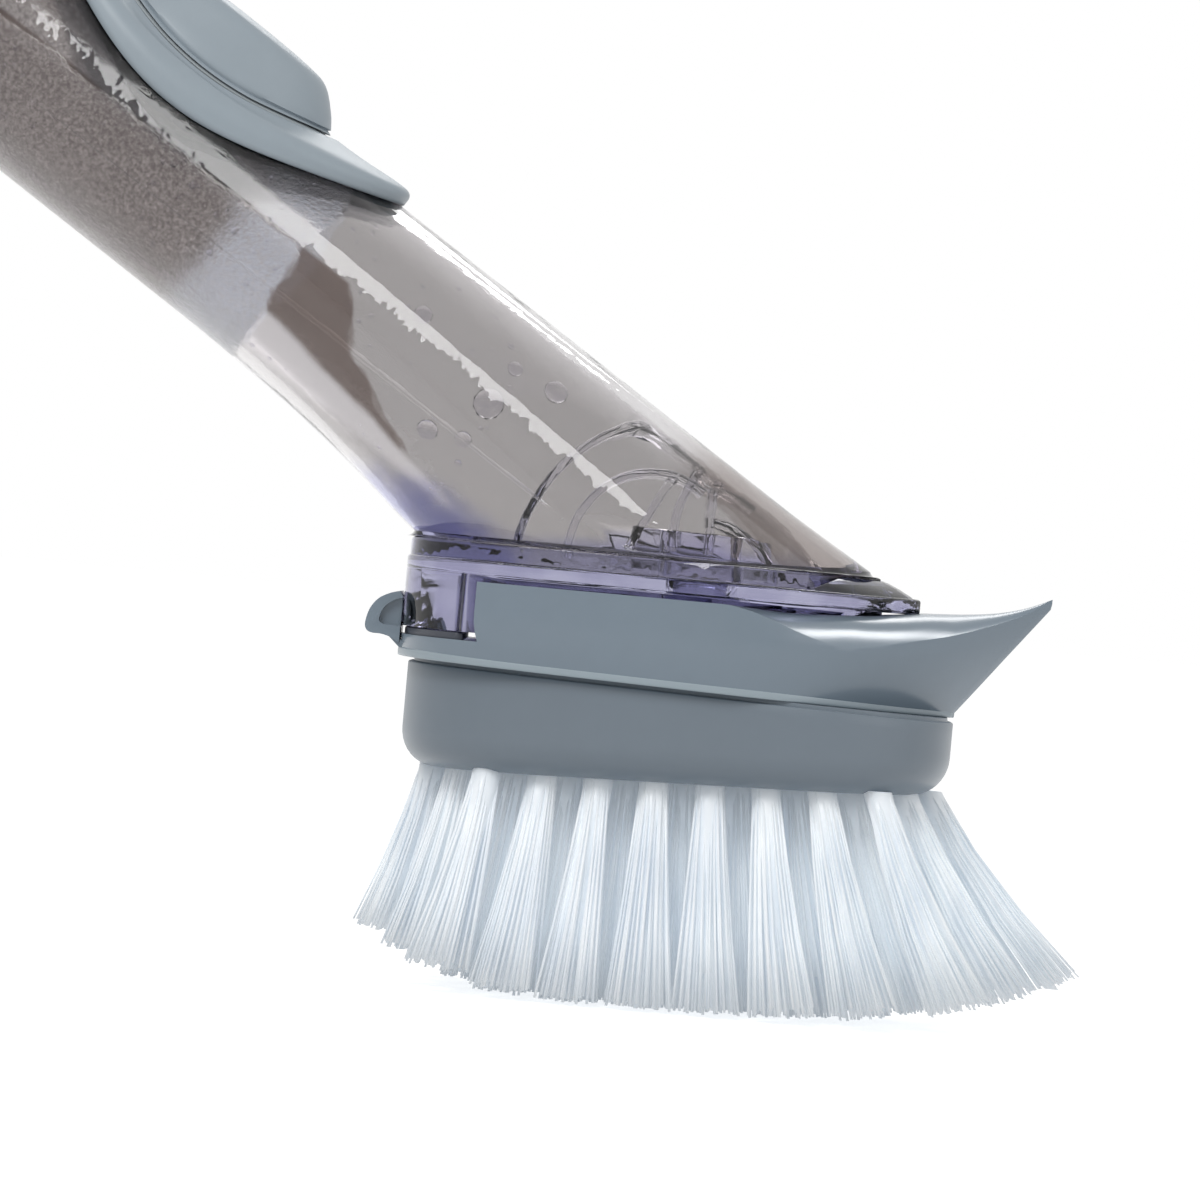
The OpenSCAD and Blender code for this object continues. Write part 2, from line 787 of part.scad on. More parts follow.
// What is cut away above the tray's rim, seen from the side
module above_rim() {
    rise_from = flange_tip + 0.8;
    curve = [
        for (i = [0:8])
            let (u = i / 8)
            [rise_from + (scraper_x + 1 - rise_from) * u, rim_z + (scraper_z - rim_z) * pow(u, 1.7)]
    ];
    translate([0, 40, 0]) rotate([90, 0, 0])
        linear_extrude(80)
            polygon(concat([[-60, rim_z]], curve, [[60, scraper_z], [60, 80], [-60, 80]]));
}

module below_skirt() {
    run = tray_front + flange_rear;
    fall = (skirt_rear_z - skirt_front_z) / run;
    translate([0, 40, 0]) rotate([90, 0, 0])
        linear_extrude(80)
            polygon([
                [-60, skirt_rear_z + (60 - flange_rear) * fall],
                [60, skirt_front_z - (60 - tray_front) * fall],
                [60, 30], [-60, 30]
            ]);
}

module head_tray() {
    inner = tray_half - tray_wall;
    color(grey)
        translate([shift_x, 0, 0])
            difference() {
                tray_outside();
                above_rim();
                below_skirt();
                // Channel that takes the base, with a rounded front
                slab(
                    plan(wall_rear + 30, wall_rear + 29, -2, flange_tip + 0.9, inner, 2, 2),
                    floor_z, 30
                );
                // Open rear, over the ledge
                translate([-60, -40, floor_z]) cube([60 - wall_rear, 80, 30]);
                nose_socket();
                tab_socket();
                translate([0, 0, 30]) cylinder(r = valve_r - 2, h = 30);
                slab(oval(block_rear - 8, block_half - 6), 30, spigot_top() - 30);
            }
    nose_hook();
}

function spigot_top() = skirt_rear_z + 0.6;

// Room round the nose bar, and the hook that reaches over its front half
module nose_socket() {
    translate([nose_x, 0, nose_z()]) rotate([90, 0, 0])
        cylinder(r = nose_r + pivot_gap, h = 2 * nose_half + 2 * moving_gap, center = true);
}

module nose_hook() {
    hook_half = nose_half + 1.6;
    color(grey)
        translate([shift_x, 0, 0])
            difference() {
                translate([nose_x, -hook_half, floor_z - 0.5])
                    cube([4.2, 2 * hook_half, nose_z() + nose_r + 1.6 - floor_z + 0.5]);
                nose_socket();
            }
}

// Groove in the ledge for the tab's round root
module tab_socket() {
    width = 2 * (tab_half + seat_gap);
    translate([-tab_x(), 0, tab_z()]) rotate([90, 0, 0])
        cylinder(r = tab_root_r + pivot_gap, h = width, center = true);
    translate([-tab_x() - 5, -width / 2, tab_z() - tab_root_r])
        cube([5, width, tab_root_r * 1.66]);
}

function tab_x() = flange_rear - 1;
function tab_z() = floor_z - 0.5 - tab_root_r - pivot_gap;

// Release tab: round root, flat plate, upturned lip and the catch behind the base
module release_tab() {
    lip = tab_height;
    reach = 5.4;
    color(grey)
        translate([shift_x - tab_x(), 0, tab_z()])
            rotate([90, 0, 0]) {
                cylinder(r = tab_root_r, h = 2 * tab_half, center = true);
                linear_extrude(2 * tab_half, center = true)
                    polygon([
                        [0, -0.5], [-1.6, -0.55], [-reach, 0.5], [-reach - 0.3, 1.4],
                        [-reach + 0.4, 3.4], [-reach + 1.7, lip * 0.72], [-3, lip * 0.92],
                        [-1.6, lip], [-1.4, lip - 0.7], [-2.6, lip * 0.72],
                        [-3.4, lip * 0.5], [-3.5, 2.4], [-2.8, 1], [-1.6, 0.5], [0, 0.5]
                    ]);
            }
    color(grey)
        translate([shift_x, 0, catch_z()])
            rotate([90, 0, 0])
                linear_extrude(2 * catch_half(), center = true)
                    polygon([
                        [-flange_rear - 2.6, -0.8], [-flange_rear + 0.2, -0.5],
                        [-flange_rear + catch_depth() - 0.2, 0.2],
                        [-flange_rear + 0.2, 0.7], [-flange_rear - 2.6, 0.9]
                    ]);
}

// Brush block: rounded underside, slots for the strips and the soap channel
module brush_block() {
    fall = atan((skirt_rear_z - skirt_front_z) / (tray_front + flange_rear));
    color(dark_grey)
        translate([shift_x, 0, 0])
            difference() {
                union() {
                    block_body();
                    slab(
                        oval(block_rear - 8.2, block_half - 6.2),
                        spigot_top() - seat_gap - 4, 4
                    );
                }
                below_and_above_block(fall);
                for (row = [0:4]) strip_space(row, seat_gap);
                translate([0, 0, root_z - 4]) cylinder(r = channel_r, h = 40);
                translate([0, 0, root_z + strip_thick + 1]) cylinder(r1 = channel_r, r2 = valve_r - 2.2, h = 10);
                translate([0, 0, root_z + strip_thick + 10.9]) cylinder(r = valve_r - 2.2, h = 10);
            }
}

function inset_plan(inset) = blunt_plan(
    block_rear - inset, 14, 12, block_front - inset, block_half - inset, 2.5
);

module block_body() {
    levels = [[0, 0.9], [0.18, 0.42], [0.5, 0.14], [1, 0]];
    hull() {
        for (v = levels)
            tilted() slab(inset_plan(block_round * v[1]), block_round * v[0], eps);
        slab(inset_plan(0), skirt_rear_z + 2, eps);
    }
}

// Everything above the tray's lower edge, but for the spigot that locates the block
module below_and_above_block(fall) {
    difference() {
        translate([-flange_rear, 0, skirt_rear_z]) rotate([0, fall, 0])
            translate([-20, -40, 0]) cube([140, 80, 30]);
        slab(oval(block_rear - 8.2, block_half - 6.2), 30, 30);
    }
    translate([-60, -40, spigot_top() - seat_gap]) cube([120, 80, 20]);
}

// Puts its children on the block's tilted underside
module tilted() {
    translate([0, 0, root_z]) rotate([0, -root_tilt, 0]) children();
}

module strip_space(row, gap) {
    long = (row_tufts[row] - 1) * tuft_pitch + strip_width;
    tilted()
        translate([-long / 2 - gap, tuft_y(row) - strip_width / 2 - gap, -5 * gap * 2])
            cube([long + 2 * gap, strip_width + 2 * gap, strip_thick + gap + 10 * gap]);
}

// One strand as a four-sided tapering prism from its root to its tip
module strand_body(ends) {
    r = strand_thick / sqrt(2);
    a = ends[0];
    b = ends[1];
    slope = (a - b) / (a[2] - b[2]);
    top = a + slope * 0.6;
    corners = [[r, 0], [0, r], [-r, 0], [0, -r]];
    points = concat(
        [for (c = corners) [b[0] + c[0], b[1] + c[1], b[2]]],
        [for (c = corners) [top[0] + c[0] * 0.8, top[1] + c[1] * 0.8, top[2]]]
    );
    polyhedron(points, [
        [0, 1, 2], [0, 2, 3], [4, 6, 5], [4, 7, 6],
        [0, 5, 1], [0, 4, 5], [1, 6, 2], [1, 5, 6],
        [2, 7, 3], [2, 6, 7], [3, 4, 0], [3, 7, 4]
    ]);
}

module bristle_row(row) {
    color(nylon)
        translate([shift_x, 0, 0]) {
            difference() {
                strip_space(row, 0);
                if (row == 2)
                    translate([0, 0, root_z - 3]) cylinder(r = channel_r, h = 12);
            }
            for (i = [0:row_tufts[row] - 1], k = [0:ring_strands])
                strand_body(strand(row, i, k));
        }
}

module bristle_row_1() { bristle_row(0); }
module bristle_row_2() { bristle_row(1); }
module bristle_row_3() { bristle_row(2); }
module bristle_row_4() { bristle_row(3); }
module bristle_row_5() { bristle_row(4); }

bottle();
base_plate();
outlet_chamber();
soap_valve();
valve_retainer();
outlet_seal();
button_collar();
button_dome();
button_bellows();
clamp_ring();
end_cap();
cap_gasket();
head_tray();
release_tab();
brush_block();
bristle_row_1();
bristle_row_2();
bristle_row_3();
bristle_row_4();
bristle_row_5();
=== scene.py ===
import math
import random

import bmesh
import bpy
from mathutils import Matrix, Vector


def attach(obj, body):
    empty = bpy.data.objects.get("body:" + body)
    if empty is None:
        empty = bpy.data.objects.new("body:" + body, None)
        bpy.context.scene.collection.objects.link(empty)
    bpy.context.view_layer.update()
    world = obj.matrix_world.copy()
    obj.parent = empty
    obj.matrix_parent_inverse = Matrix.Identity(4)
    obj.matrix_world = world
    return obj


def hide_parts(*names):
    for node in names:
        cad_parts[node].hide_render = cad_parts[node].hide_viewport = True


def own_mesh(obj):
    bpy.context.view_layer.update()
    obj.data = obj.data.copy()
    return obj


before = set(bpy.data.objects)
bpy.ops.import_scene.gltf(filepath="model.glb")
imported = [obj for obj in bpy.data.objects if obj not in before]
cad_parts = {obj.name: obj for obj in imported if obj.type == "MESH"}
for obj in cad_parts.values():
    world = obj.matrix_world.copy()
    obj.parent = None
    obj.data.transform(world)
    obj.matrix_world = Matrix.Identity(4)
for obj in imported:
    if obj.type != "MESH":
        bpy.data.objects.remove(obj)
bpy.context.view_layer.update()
print("frame loaded")

# The brush head is drawn in millimetres round the middle of its block, then moved here
headShift = 51.256


def toRow(x, y, z):
    return Vector(((x + headShift) / 1000, y / 1000, z / 1000))


def signed(amount, power):
    return math.copysign(abs(amount) ** power, amount)


def mix(a, b, f):
    return a + (b - a) * f


def circle(count):
    return [2 * math.pi * i / count for i in range(count)]


# Mesh helpers

def makeObject(name, mesh, material=None):
    piece = bpy.data.objects.new(name, mesh)
    bpy.context.scene.collection.objects.link(piece)
    if material:
        mesh.materials.clear()
        mesh.materials.append(material)
    return piece


def editMesh(mesh, change):
    work = bmesh.new()
    work.from_mesh(mesh)
    change(work)
    work.to_mesh(mesh)
    work.free()


def mergePoints(work, reach=2e-6):
    bmesh.ops.remove_doubles(work, verts=work.verts, dist=reach)


def makeMesh(name, points, faces, material=None):
    mesh = bpy.data.meshes.new(name)
    mesh.from_pydata([tuple(p) for p in points], [], faces)

    def close(work):
        mergePoints(work, 2e-7)
        bmesh.ops.recalc_face_normals(work, faces=work.faces)

    editMesh(mesh, close)
    mesh.shade_smooth()
    return makeObject(name, mesh, material)


# Rings of equal length joined one to the next; the stack is capped or closes on itself
def loft(name, rings, material=None, closed=False):
    count = len(rings[0])
    points = [p for ring in rings for p in ring]
    faces = []
    last = len(rings) if closed else len(rings) - 1
    for r in range(last):
        a, b = r * count, (r + 1) % len(rings) * count
        for i in range(count):
            j = (i + 1) % count
            faces.append((a + i, a + j, b + j, b + i))
    if not closed:
        faces.append(tuple(range(count))[::-1])
        faces.append(tuple((len(rings) - 1) * count + i for i in range(count)))
    return makeMesh(name, points, faces, material)


def bakeModifiers(piece):
    view = bpy.context.evaluated_depsgraph_get()
    baked = bpy.data.meshes.new_from_object(piece.evaluated_get(view), depsgraph=view)
    piece.modifiers.clear()
    old = piece.data
    piece.data = baked
    baked.name = piece.name
    bpy.data.meshes.remove(old)
    return piece


def combine(piece, others, operation):
    for other in others:
        step = piece.modifiers.new("combine", "BOOLEAN")
        step.operation = operation
        step.solver = "EXACT"
        step.object = other
    bpy.context.view_layer.update()
    bakeModifiers(piece)
    for other in others:
        bpy.data.objects.remove(other)
    return piece


def cut(piece, *others):
    return combine(piece, others, "DIFFERENCE")


def join(piece, *others):
    return combine(piece, others, "UNION")


def smoothEdges(mesh, degrees):
    mesh.shade_smooth()

    def crease(work):
        for edge in work.edges:
            folded = len(edge.link_faces) == 2 and edge.calc_face_angle(0) > math.radians(degrees)
            edge.smooth = not folded

    editMesh(mesh, crease)


def softenEdges(piece, width, segments=3, limit=35, sharp=30):
    def clean(work):
        mergePoints(work)
        bmesh.ops.dissolve_degenerate(work, edges=work.edges, dist=2e-6)
        gaps = [edge for edge in work.edges if edge.is_boundary]
        bmesh.ops.holes_fill(work, edges=gaps, sides=8)

    editMesh(piece.data, clean)
    bevel = piece.modifiers.new("edges", "BEVEL")
    bevel.width = width / 1000
    bevel.segments = segments
    bevel.limit_method = "ANGLE"
    bevel.angle_limit = math.radians(limit)
    bevel.use_clamp_overlap = True
    bevel.miter_outer = "MITER_ARC"
    bakeModifiers(piece)
    smoothEdges(piece.data, sharp)
    return piece


# A merged copy of a CAD node with softened edges
def dressedNode(node, name, material, width):
    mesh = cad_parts[node].data.copy()

    def merge(work):
        mergePoints(work)
        bmesh.ops.dissolve_limit(work, angle_limit=math.radians(1.5), verts=work.verts, edges=work.edges)

    editMesh(mesh, merge)
    return softenEdges(makeObject(name, mesh, material), width, 2, 30, 32)


def dress(piece, body, *nodes):
    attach(piece, body)
    if nodes:
        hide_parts(*nodes)
    return piece


# Outlines in plan, as the solids have them but finer
def rearArc(rear, start, half, power, steps):
    points = []
    for i in range(steps + 1):
        a = math.radians(90 * i / steps)
        s, c = (abs(f) ** (2 / power) for f in (math.sin(a), math.cos(a)))
        points.append((-start - (rear - start) * s, half * c))
    return points


def mirrorPlan(side):
    return side + [(x, -y) for x, y in side[-2:0:-1]]


def pointedPlan(rear, rearFrom, frontFrom, front, half, power=2.6, point=2.0, steps=36):
    back = rearArc(rear, rearFrom, half, power, steps)
    shares = [i / steps for i in range(steps + 1)]
    nose = [(mix(frontFrom, front, f), half * (1 - f ** point)) for f in shares]
    return mirrorPlan(back[::-1] + nose)


def bluntPlan(rear, rearFrom, frontFrom, front, half, power, steps):
    back = rearArc(rear, rearFrom, half, power, steps)
    nose = [(-x, y) for x, y in rearArc(front, frontFrom, half, power, steps)]
    return mirrorPlan(back[::-1] + nose)


def ovalPlan(a, b, count=96):
    return [(a * math.cos(v), b * math.sin(v)) for v in circle(count)]


def smoothPath(points, steps=6):
    found = []
    last = len(points) - 1
    for i in range(last):
        a, b, c, d = (Vector(points[max(0, min(last, i + k))]) for k in (-1, 0, 1, 2))
        for k in range(steps):
            u = k / steps
            line = 2 * b + (c - a) * u
            square, cube = 2 * a - 5 * b + 4 * c - d, 3 * b - a - 3 * c + d
            found.append(0.5 * (line + square * u * u + cube * u ** 3))
    found.append(Vector(points[-1]))
    return found


def slab(name, outline, low, high, material=None):
    return loft(name, [[toRow(x, y, z) for x, y in outline] for z in (low, high)], material)


def block(name, lowCorner, highCorner, material=None):
    (x0, y0, z0), (x1, y1, z1) = lowCorner, highCorner
    return slab(name, [(x0, y0), (x1, y0), (x1, y1), (x0, y1)], z0, z1, material)


# A prism across the object from its side view
def crossBar(name, sideView, halfWidth, material=None):
    ends = (-halfWidth, halfWidth)
    return loft(name, [[toRow(x, y, z) for x, z in sideView] for y in ends], material)


def rod(name, x, z, radius, half, material=None):
    outline = [(x + a, z + b) for a, b in ovalPlan(radius, radius, 40)]
    return crossBar(name, outline, half, material)


def toLinear(r, g, b):
    shares = [c / 255 for c in (r, g, b)]
    return tuple(f / 12.92 if f <= 0.04 else ((f + 0.055) / 1.055) ** 2.4 for f in shares) + (1,)


# Materials

def newMaterial(name):
    material = bpy.data.materials.new(name)
    material.use_nodes = True
    return material, material.node_tree, material.node_tree.nodes["Principled BSDF"]


# A node's output that can be used in sums; each sum adds a Math node to its tree
class nodeValue:
    def __init__(self, socket):
        self.socket, self.tree = socket, socket.id_data

    def __add__(self, other):
        return calc("ADD", self, other)

    def __sub__(self, other):
        return calc("SUBTRACT", self, other)

    def __rsub__(self, other):
        return calc("SUBTRACT", other, self)

    def __mul__(self, other):
        return calc("MULTIPLY", self, other)

    def __truediv__(self, other):
        return calc("DIVIDE", self, other)


def value(node, key=0):
    return nodeValue(node.outputs[key])


# Inputs take a value to link or a constant
def feed(node, inputs):
    for key, source in inputs.items():
        socket = node.inputs[key]
        if isinstance(source, nodeValue):
            node.id_data.links.new(source.socket, socket)
        else:
            socket.default_value = source


def addNode(tree, kind, inputs=None, **settings):
    node = tree.nodes.new(kind)
    for key, setting in settings.items():
        setattr(node, key, setting)
    feed(node, inputs or {})
    return node


def calc(operation, *values):
    tree = next(v.tree for v in values if isinstance(v, nodeValue))
    return value(addNode(tree, "ShaderNodeMath", dict(enumerate(values)), operation=operation))


# Adds nodes to one tree and hands back the output that is wanted of each
def builder(tree):
    return lambda kind, inputs, key=0, **settings: value(addNode(tree, kind, inputs, **settings), key)


# 0 below low, 1 above high, smooth between
def ramp(source, low, high):
    ends = (low, high, 0, 1) if low < high else (high, low, 1, 0)
    inputs = dict(zip(("From Min", "From Max", "To Min", "To Max"), ends), Value=source)
    node = addNode(source.tree, "ShaderNodeMapRange", inputs, interpolation_type="SMOOTHSTEP")
    return value(node, "Result")


def noiseOf(vector, scale, detail=3.0, roughness=0.5):
    inputs = {"Vector": vector, "Scale": scale, "Detail": detail, "Roughness": roughness}
    return value(addNode(vector.tree, "ShaderNodeTexNoise", inputs), "Fac")


def blendColor(factor, a, b):
    node = addNode(factor.tree, "ShaderNodeMix", data_type="RGBA")
    feed(node, {0: factor, 6: a, 7: b})
    return value(node, 2)


def reliefOf(height, strength, distance):
    inputs = {"Height": height, "Strength": strength, "Distance": distance}
    return value(addNode(height.tree, "ShaderNodeBump", inputs), "Normal")


def objectPlace(tree):
    return value(tree.nodes.new("ShaderNodeTexCoord"), "Object")


def newGroup(name, inputs, outputs, kind="Shader"):
    group = bpy.data.node_groups.new(name, kind + "NodeTree")
    for label, form, start in inputs:
        socket = group.interface.new_socket(name=label, in_out="INPUT", socket_type="NodeSocket" + form)
        if start is not None:
            socket.default_value = start
    for label, form in outputs:
        group.interface.new_socket(name=label, in_out="OUTPUT", socket_type="NodeSocket" + form)
    return group, group.nodes.new("NodeGroupInput"), group.nodes.new("NodeGroupOutput")


# Colour drift, uneven gloss and a fine grain, as on moulded plastic
def mouldedGroup():
    inputs = (
        ("Color", "Color", (0.5, 0.5, 0.5, 1)), ("Variation", "Float", 0.06), ("Gloss", "Float", 0.35),
        ("Grain", "Float", 900.0),
    )
    outputs = (("Color", "Color"), ("Roughness", "Float"), ("Height", "Float"))
    group, source, result = newGroup("mouldedSurface", inputs, outputs)
    place = objectPlace(group)
    cloudy = noiseOf(place, 42.0, 4.0)
    specks = noiseOf(place, 420.0, 2.0)
    lift = (cloudy - 0.5) * value(source, "Variation") + (specks - 0.5) * 0.05 + 1.0
    scaled = {0: value(source, "Color"), "Scale": lift}
    tone = addNode(group, "ShaderNodeVectorMath", scaled, operation="SCALE")
    feed(result, {
        "Color": value(tone),
        "Roughness": cloudy * 0.14 + value(source, "Gloss"),
        "Height": noiseOf(place, value(source, "Grain")),
    })
    return group


# Where a point is in the handle: how far up it, how high over its top edge, and which side
def handleGroup():
    outputs = [(name, "Float") for name in ("Along", "Up", "Side", "Height")] + [("Vector", "Vector")]
    group, _, result = newGroup("handleZones", (), outputs)
    place = objectPlace(group)
    corner = toRow(handle["cornerX"], 0, handle["topZ"])
    shift = (up.dot(corner), 0, -out.dot(corner))
    moved = {"Vector": place, "Rotation": (0, -slant, 0), "Location": shift}
    turn = addNode(group, "ShaderNodeMapping", moved)
    parts = addNode(group, "ShaderNodeSeparateXYZ", {0: value(turn)})
    plain = addNode(group, "ShaderNodeSeparateXYZ", {0: place})
    feed(result, {
        "Along": value(parts, 0) * -1000.0,
        "Side": value(parts, 1) * 1000.0,
        "Up": value(parts, 2) * 1000.0,
        "Height": value(plain, 2) * 1000.0,
        "Vector": value(turn),
    })
    return group


handle = {
    "angle": 33.2,
    "width": 34.0,
    "depth": 29.5,
    "length": 167.0,
    "wall": 1.8,
    "cornerX": 22.6,
    "topZ": 58.8,
    "seamZ": 56.4,
    "skirtReach": 68.0,
    "bendEnd": 96.0,
    "skirtHalf": 20.5,
    "shoulder": 6.0,
    "neckRadius": 10.0,
    "neckLength": 12.0,
    "threadPitch": 4.0,
    "threadTurns": 1.5,
    "threadHeight": 1.2,
    "points": 128,
}
slant = math.radians(handle["angle"])
up = Vector((-math.cos(slant), 0, math.sin(slant)))
out = Vector((math.sin(slant), 0, math.cos(slant)))
moulded = mouldedGroup()
zones = handleGroup()


def plasticMaterial(name, color, variation=0.06, gloss=0.3):
    material, tree, shader = newMaterial(name)
    inputs = {"Color": toLinear(*color), "Variation": variation, "Gloss": gloss}
    surface = addNode(tree, "ShaderNodeGroup", node_tree=moulded)
    feed(surface, inputs)
    feed(shader, {
        "Base Color": value(surface, "Color"),
        "Roughness": value(surface, "Roughness"),
        "Normal": reliefOf(value(surface, "Height"), 0.35, 0.00002),
    })
    return material


# Clear plastic of the base: tinted, with slow ripples
def clearMaterial(name, tint, deep, ior=1.3):
    material, tree, shader = newMaterial(name)
    ripple = noiseOf(objectPlace(tree), 160.0, 2.0)
    feed(shader, {
        "Transmission Weight": 1.0,
        "IOR": ior,
        "Base Color": blendColor(ramp(ripple, 0.38, 0.62), tint, deep),
        "Normal": reliefOf(ripple, 0.4, 0.0001),
        "Roughness": ripple * 0.04 + 0.02,
    })
    return material


# Clear plastic of the handle: smoky, fogged with suds at its upper end, violet at its thick foot
clearLook = {
    "smoke": (0.565, 0.55, 0.55, 1),
    # painted highlight towards the top edge
    "light": (0.68, 0.665, 0.67, 1),
    "violet": (0.33, 0.33, 0.48, 1),
    "fog": (0.60, 0.57, 0.565, 1),
    "fogDark": (0.26, 0.235, 0.23, 1),
    "suds": (0.60, 0.61, 0.65, 1),
    # painted reflections: brown inside the front corner, dark in a point
    "shade": (0.25, 0.205, 0.19, 1),
    # painted reflection of the far wall
    "pale": (0.85, 0.83, 0.85, 1),
    "fogStart": 85.0,
    "stripe": 11.2,
    # painted shadow round the collar's edge: its colour, middle, reach and half width
    "dark": (0.16, 0.155, 0.165, 1),
    "sealAt": 111.0,
    "sealReach": 33.6,
    "sealHalf": 16.75,
    "ior": 1.32,
}


def bottleMaterial():
    material, tree, shader = newMaterial("bottleClear")
    look = clearLook
    at = addNode(tree, "ShaderNodeGroup", node_tree=zones)
    s, t, side, z, vector = (value(at, name) for name in ("Along", "Up", "Side", "Height", "Vector"))
    wander = noiseOf(vector, 160.0) - 0.5
    grit = noiseOf(vector, 2100.0, 3.0, 0.7)
    near = ramp(side, 2.0, -2.0)

    # Suds and fog above the water line; a stripe where the streak lamp reflects is left free of fog
    stripe = ramp(calc("ABSOLUTE", wander * 2.6 + t + look["stripe"]), 2.3, 1.3)
    fog = ramp(wander * 5.0 + s, look["fogStart"] - 0.4, look["fogStart"] + 0.4)
    fog = fog * (1.0 - stripe * near)
    deepFog = ramp(wander * 9.0 + s, look["fogStart"] + 9, look["fogStart"] + 14)
    cloud = blendColor(ramp(grit, 0.36, 0.66), look["fogDark"], look["fog"])
    foam = blendColor(ramp(grit, 0.36, 0.52), look["fog"], look["suds"])

    # A painted dark reflection ending in a point, under it the painted far-wall reflection, and the violet
    # foot
    front = wander * 7.0 + s - calc("MINIMUM", t * 2.25 + 115.4, t * 0.86 + 87.7)
    lower = wander * 1.2 + t - (s * 0.134 - 33.0)
    spear = ramp(front, -0.3, 0.7) * ramp(lower, -0.25, 0.4) * ramp(t, -12.2, -12.9)
    band = ramp(lower, 0.1, -0.7) * ramp(t, -28.0, -26.6) * ramp(s, 44, 56)
    rearFoot = ramp(wander * 9.0 + z, 69.0, 62.0) * ramp(wander * 6.0 + t, -24.5, -29.0)
    violet = calc("MAXIMUM", ramp(wander * 3.0 + z, 61.2, 58.9) * 0.55, rearFoot)

    # Lighter towards the top edge as a painted highlight, a painted brown reflection inside the
    # front corner, and a painted dark shadow that shows round the collar's edge
    corner = ramp(t, -4.3, -3.8) * ramp(wander * 6.0 + s, 34, 22) * 0.8
    reach, across = (look["sealAt"] - s) / look["sealReach"], side / look["sealHalf"]
    seal = ramp(wander * 0.05 + (reach * reach + across * across), 0.985, 0.93) * ramp(t, -13.5, -12.5)
    color = blendColor(ramp(wander * 2.0 + t, -5.5, -1.5), look["smoke"], look["light"])
    for amount, shade in (
        (violet, look["violet"]),
        (corner, look["shade"]),
        (band * near, look["pale"]),
        (spear * near, look["shade"]),
        (fog, blendColor(deepFog, foam, cloud)),
        (seal, look["dark"]),
    ):
        color = blendColor(amount, color, shade)

    # Mould line along the side, ripples, and rough suds
    line = ramp(calc("ABSOLUTE", t + 19.2), 0.22, 0.05) * ramp(s, 38, 41)
    feed(shader, {
        "Transmission Weight": 1.0,
        "IOR": look["ior"],
        "Base Color": color,
        "Roughness": fog * (grit * 0.3) + 0.012,
        "Normal": reliefOf(line * 0.7 + (fog * (grit * 0.8) + wander * 0.5), 0.5, 0.0003),
    })
    return material


trayGrey = plasticMaterial("trayGrey", (119, 133, 145), gloss=0.17)
buttonGrey = plasticMaterial("buttonGrey", (148, 159, 167), gloss=0.34, variation=0.08)
# A darker copy of the tray grey for the brush block: painted shade under the tray
blockGrey = plasticMaterial("blockGrey", (112, 123, 133), gloss=0.3)
# Dark grey: the valve retainer's colour, and painted shade on the ledge rib and the clamp ring
darkGrey = plasticMaterial("darkGrey", (62, 66, 76), gloss=0.35)
# A lighter copy of the tray grey for the skirt's bead: a painted highlight along the lower rim
beadGrey = plasticMaterial("beadGrey", (150, 163, 171), gloss=0.28)
softGrey = plasticMaterial("softGrey", (158, 166, 170), gloss=0.45)
sealGrey = plasticMaterial("sealGrey", (188, 192, 194), gloss=0.4)
bottleClear = bottleMaterial()
baseClear = clearMaterial("baseClear", (0.38, 0.38, 0.52, 1), (0.29, 0.285, 0.43, 1))
chamberClear = clearMaterial("chamberClear", (0.98, 0.98, 1, 1), (0.9, 0.89, 0.97, 1), ior=1.24)
print("materials made")

# Bristles: each tuft is a point that carries its lean and its length

bristles = {
    "rowTufts": [8, 9, 10, 9, 8],
    "tuftPitch": 7.3,
    "rowPitch": 8.0,
    "rootHeight": 29.6,
    "rootTilt": 1.8,
    "sunk": 0.5,
    "length": 30.6,
    "shorterFrom": -8,
    "shorter": 0.012,
    "lean": 2,
    "leanRear": 0.45,
    "leanFront": 0.35,
    "leanMore": 0.022,
    "leanSide": 0.72,
    "tuftRadius": 1.75,
    "strands": 92,
    "strandRadius": 0.19,
    "spread": 4.9,
    "coreRadius": 2.0,
    "coreLength": 0.8,
    "seed": 4,
}


def nylonMaterial():
    material, tree, shader = newMaterial("wetNylon")
    stretch = addNode(tree, "ShaderNodeMapping", {"Vector": objectPlace(tree), "Scale": (1, 1, 0.12)})
    streak = noiseOf(value(stretch), 260.0)
    shade = addNode(tree, "ShaderNodeValToRGB", {"Fac": streak})
    stops = ((0.3, (228, 234, 240)), (0.62, (247, 250, 252)))
    for element, (position, color) in zip(shade.color_ramp.elements, stops):
        element.position = position
        element.color = toLinear(*color)
    feed(shader, {
        "Base Color": value(shade, "Color"),
        "Roughness": 0.32,
        # Emission: a painted glow that stands in for light passing through the strands
        "Emission Color": (0.84, 0.92, 1.0, 1),
        "Emission Strength": 0.13,
    })
    return material


nylon = nylonMaterial()


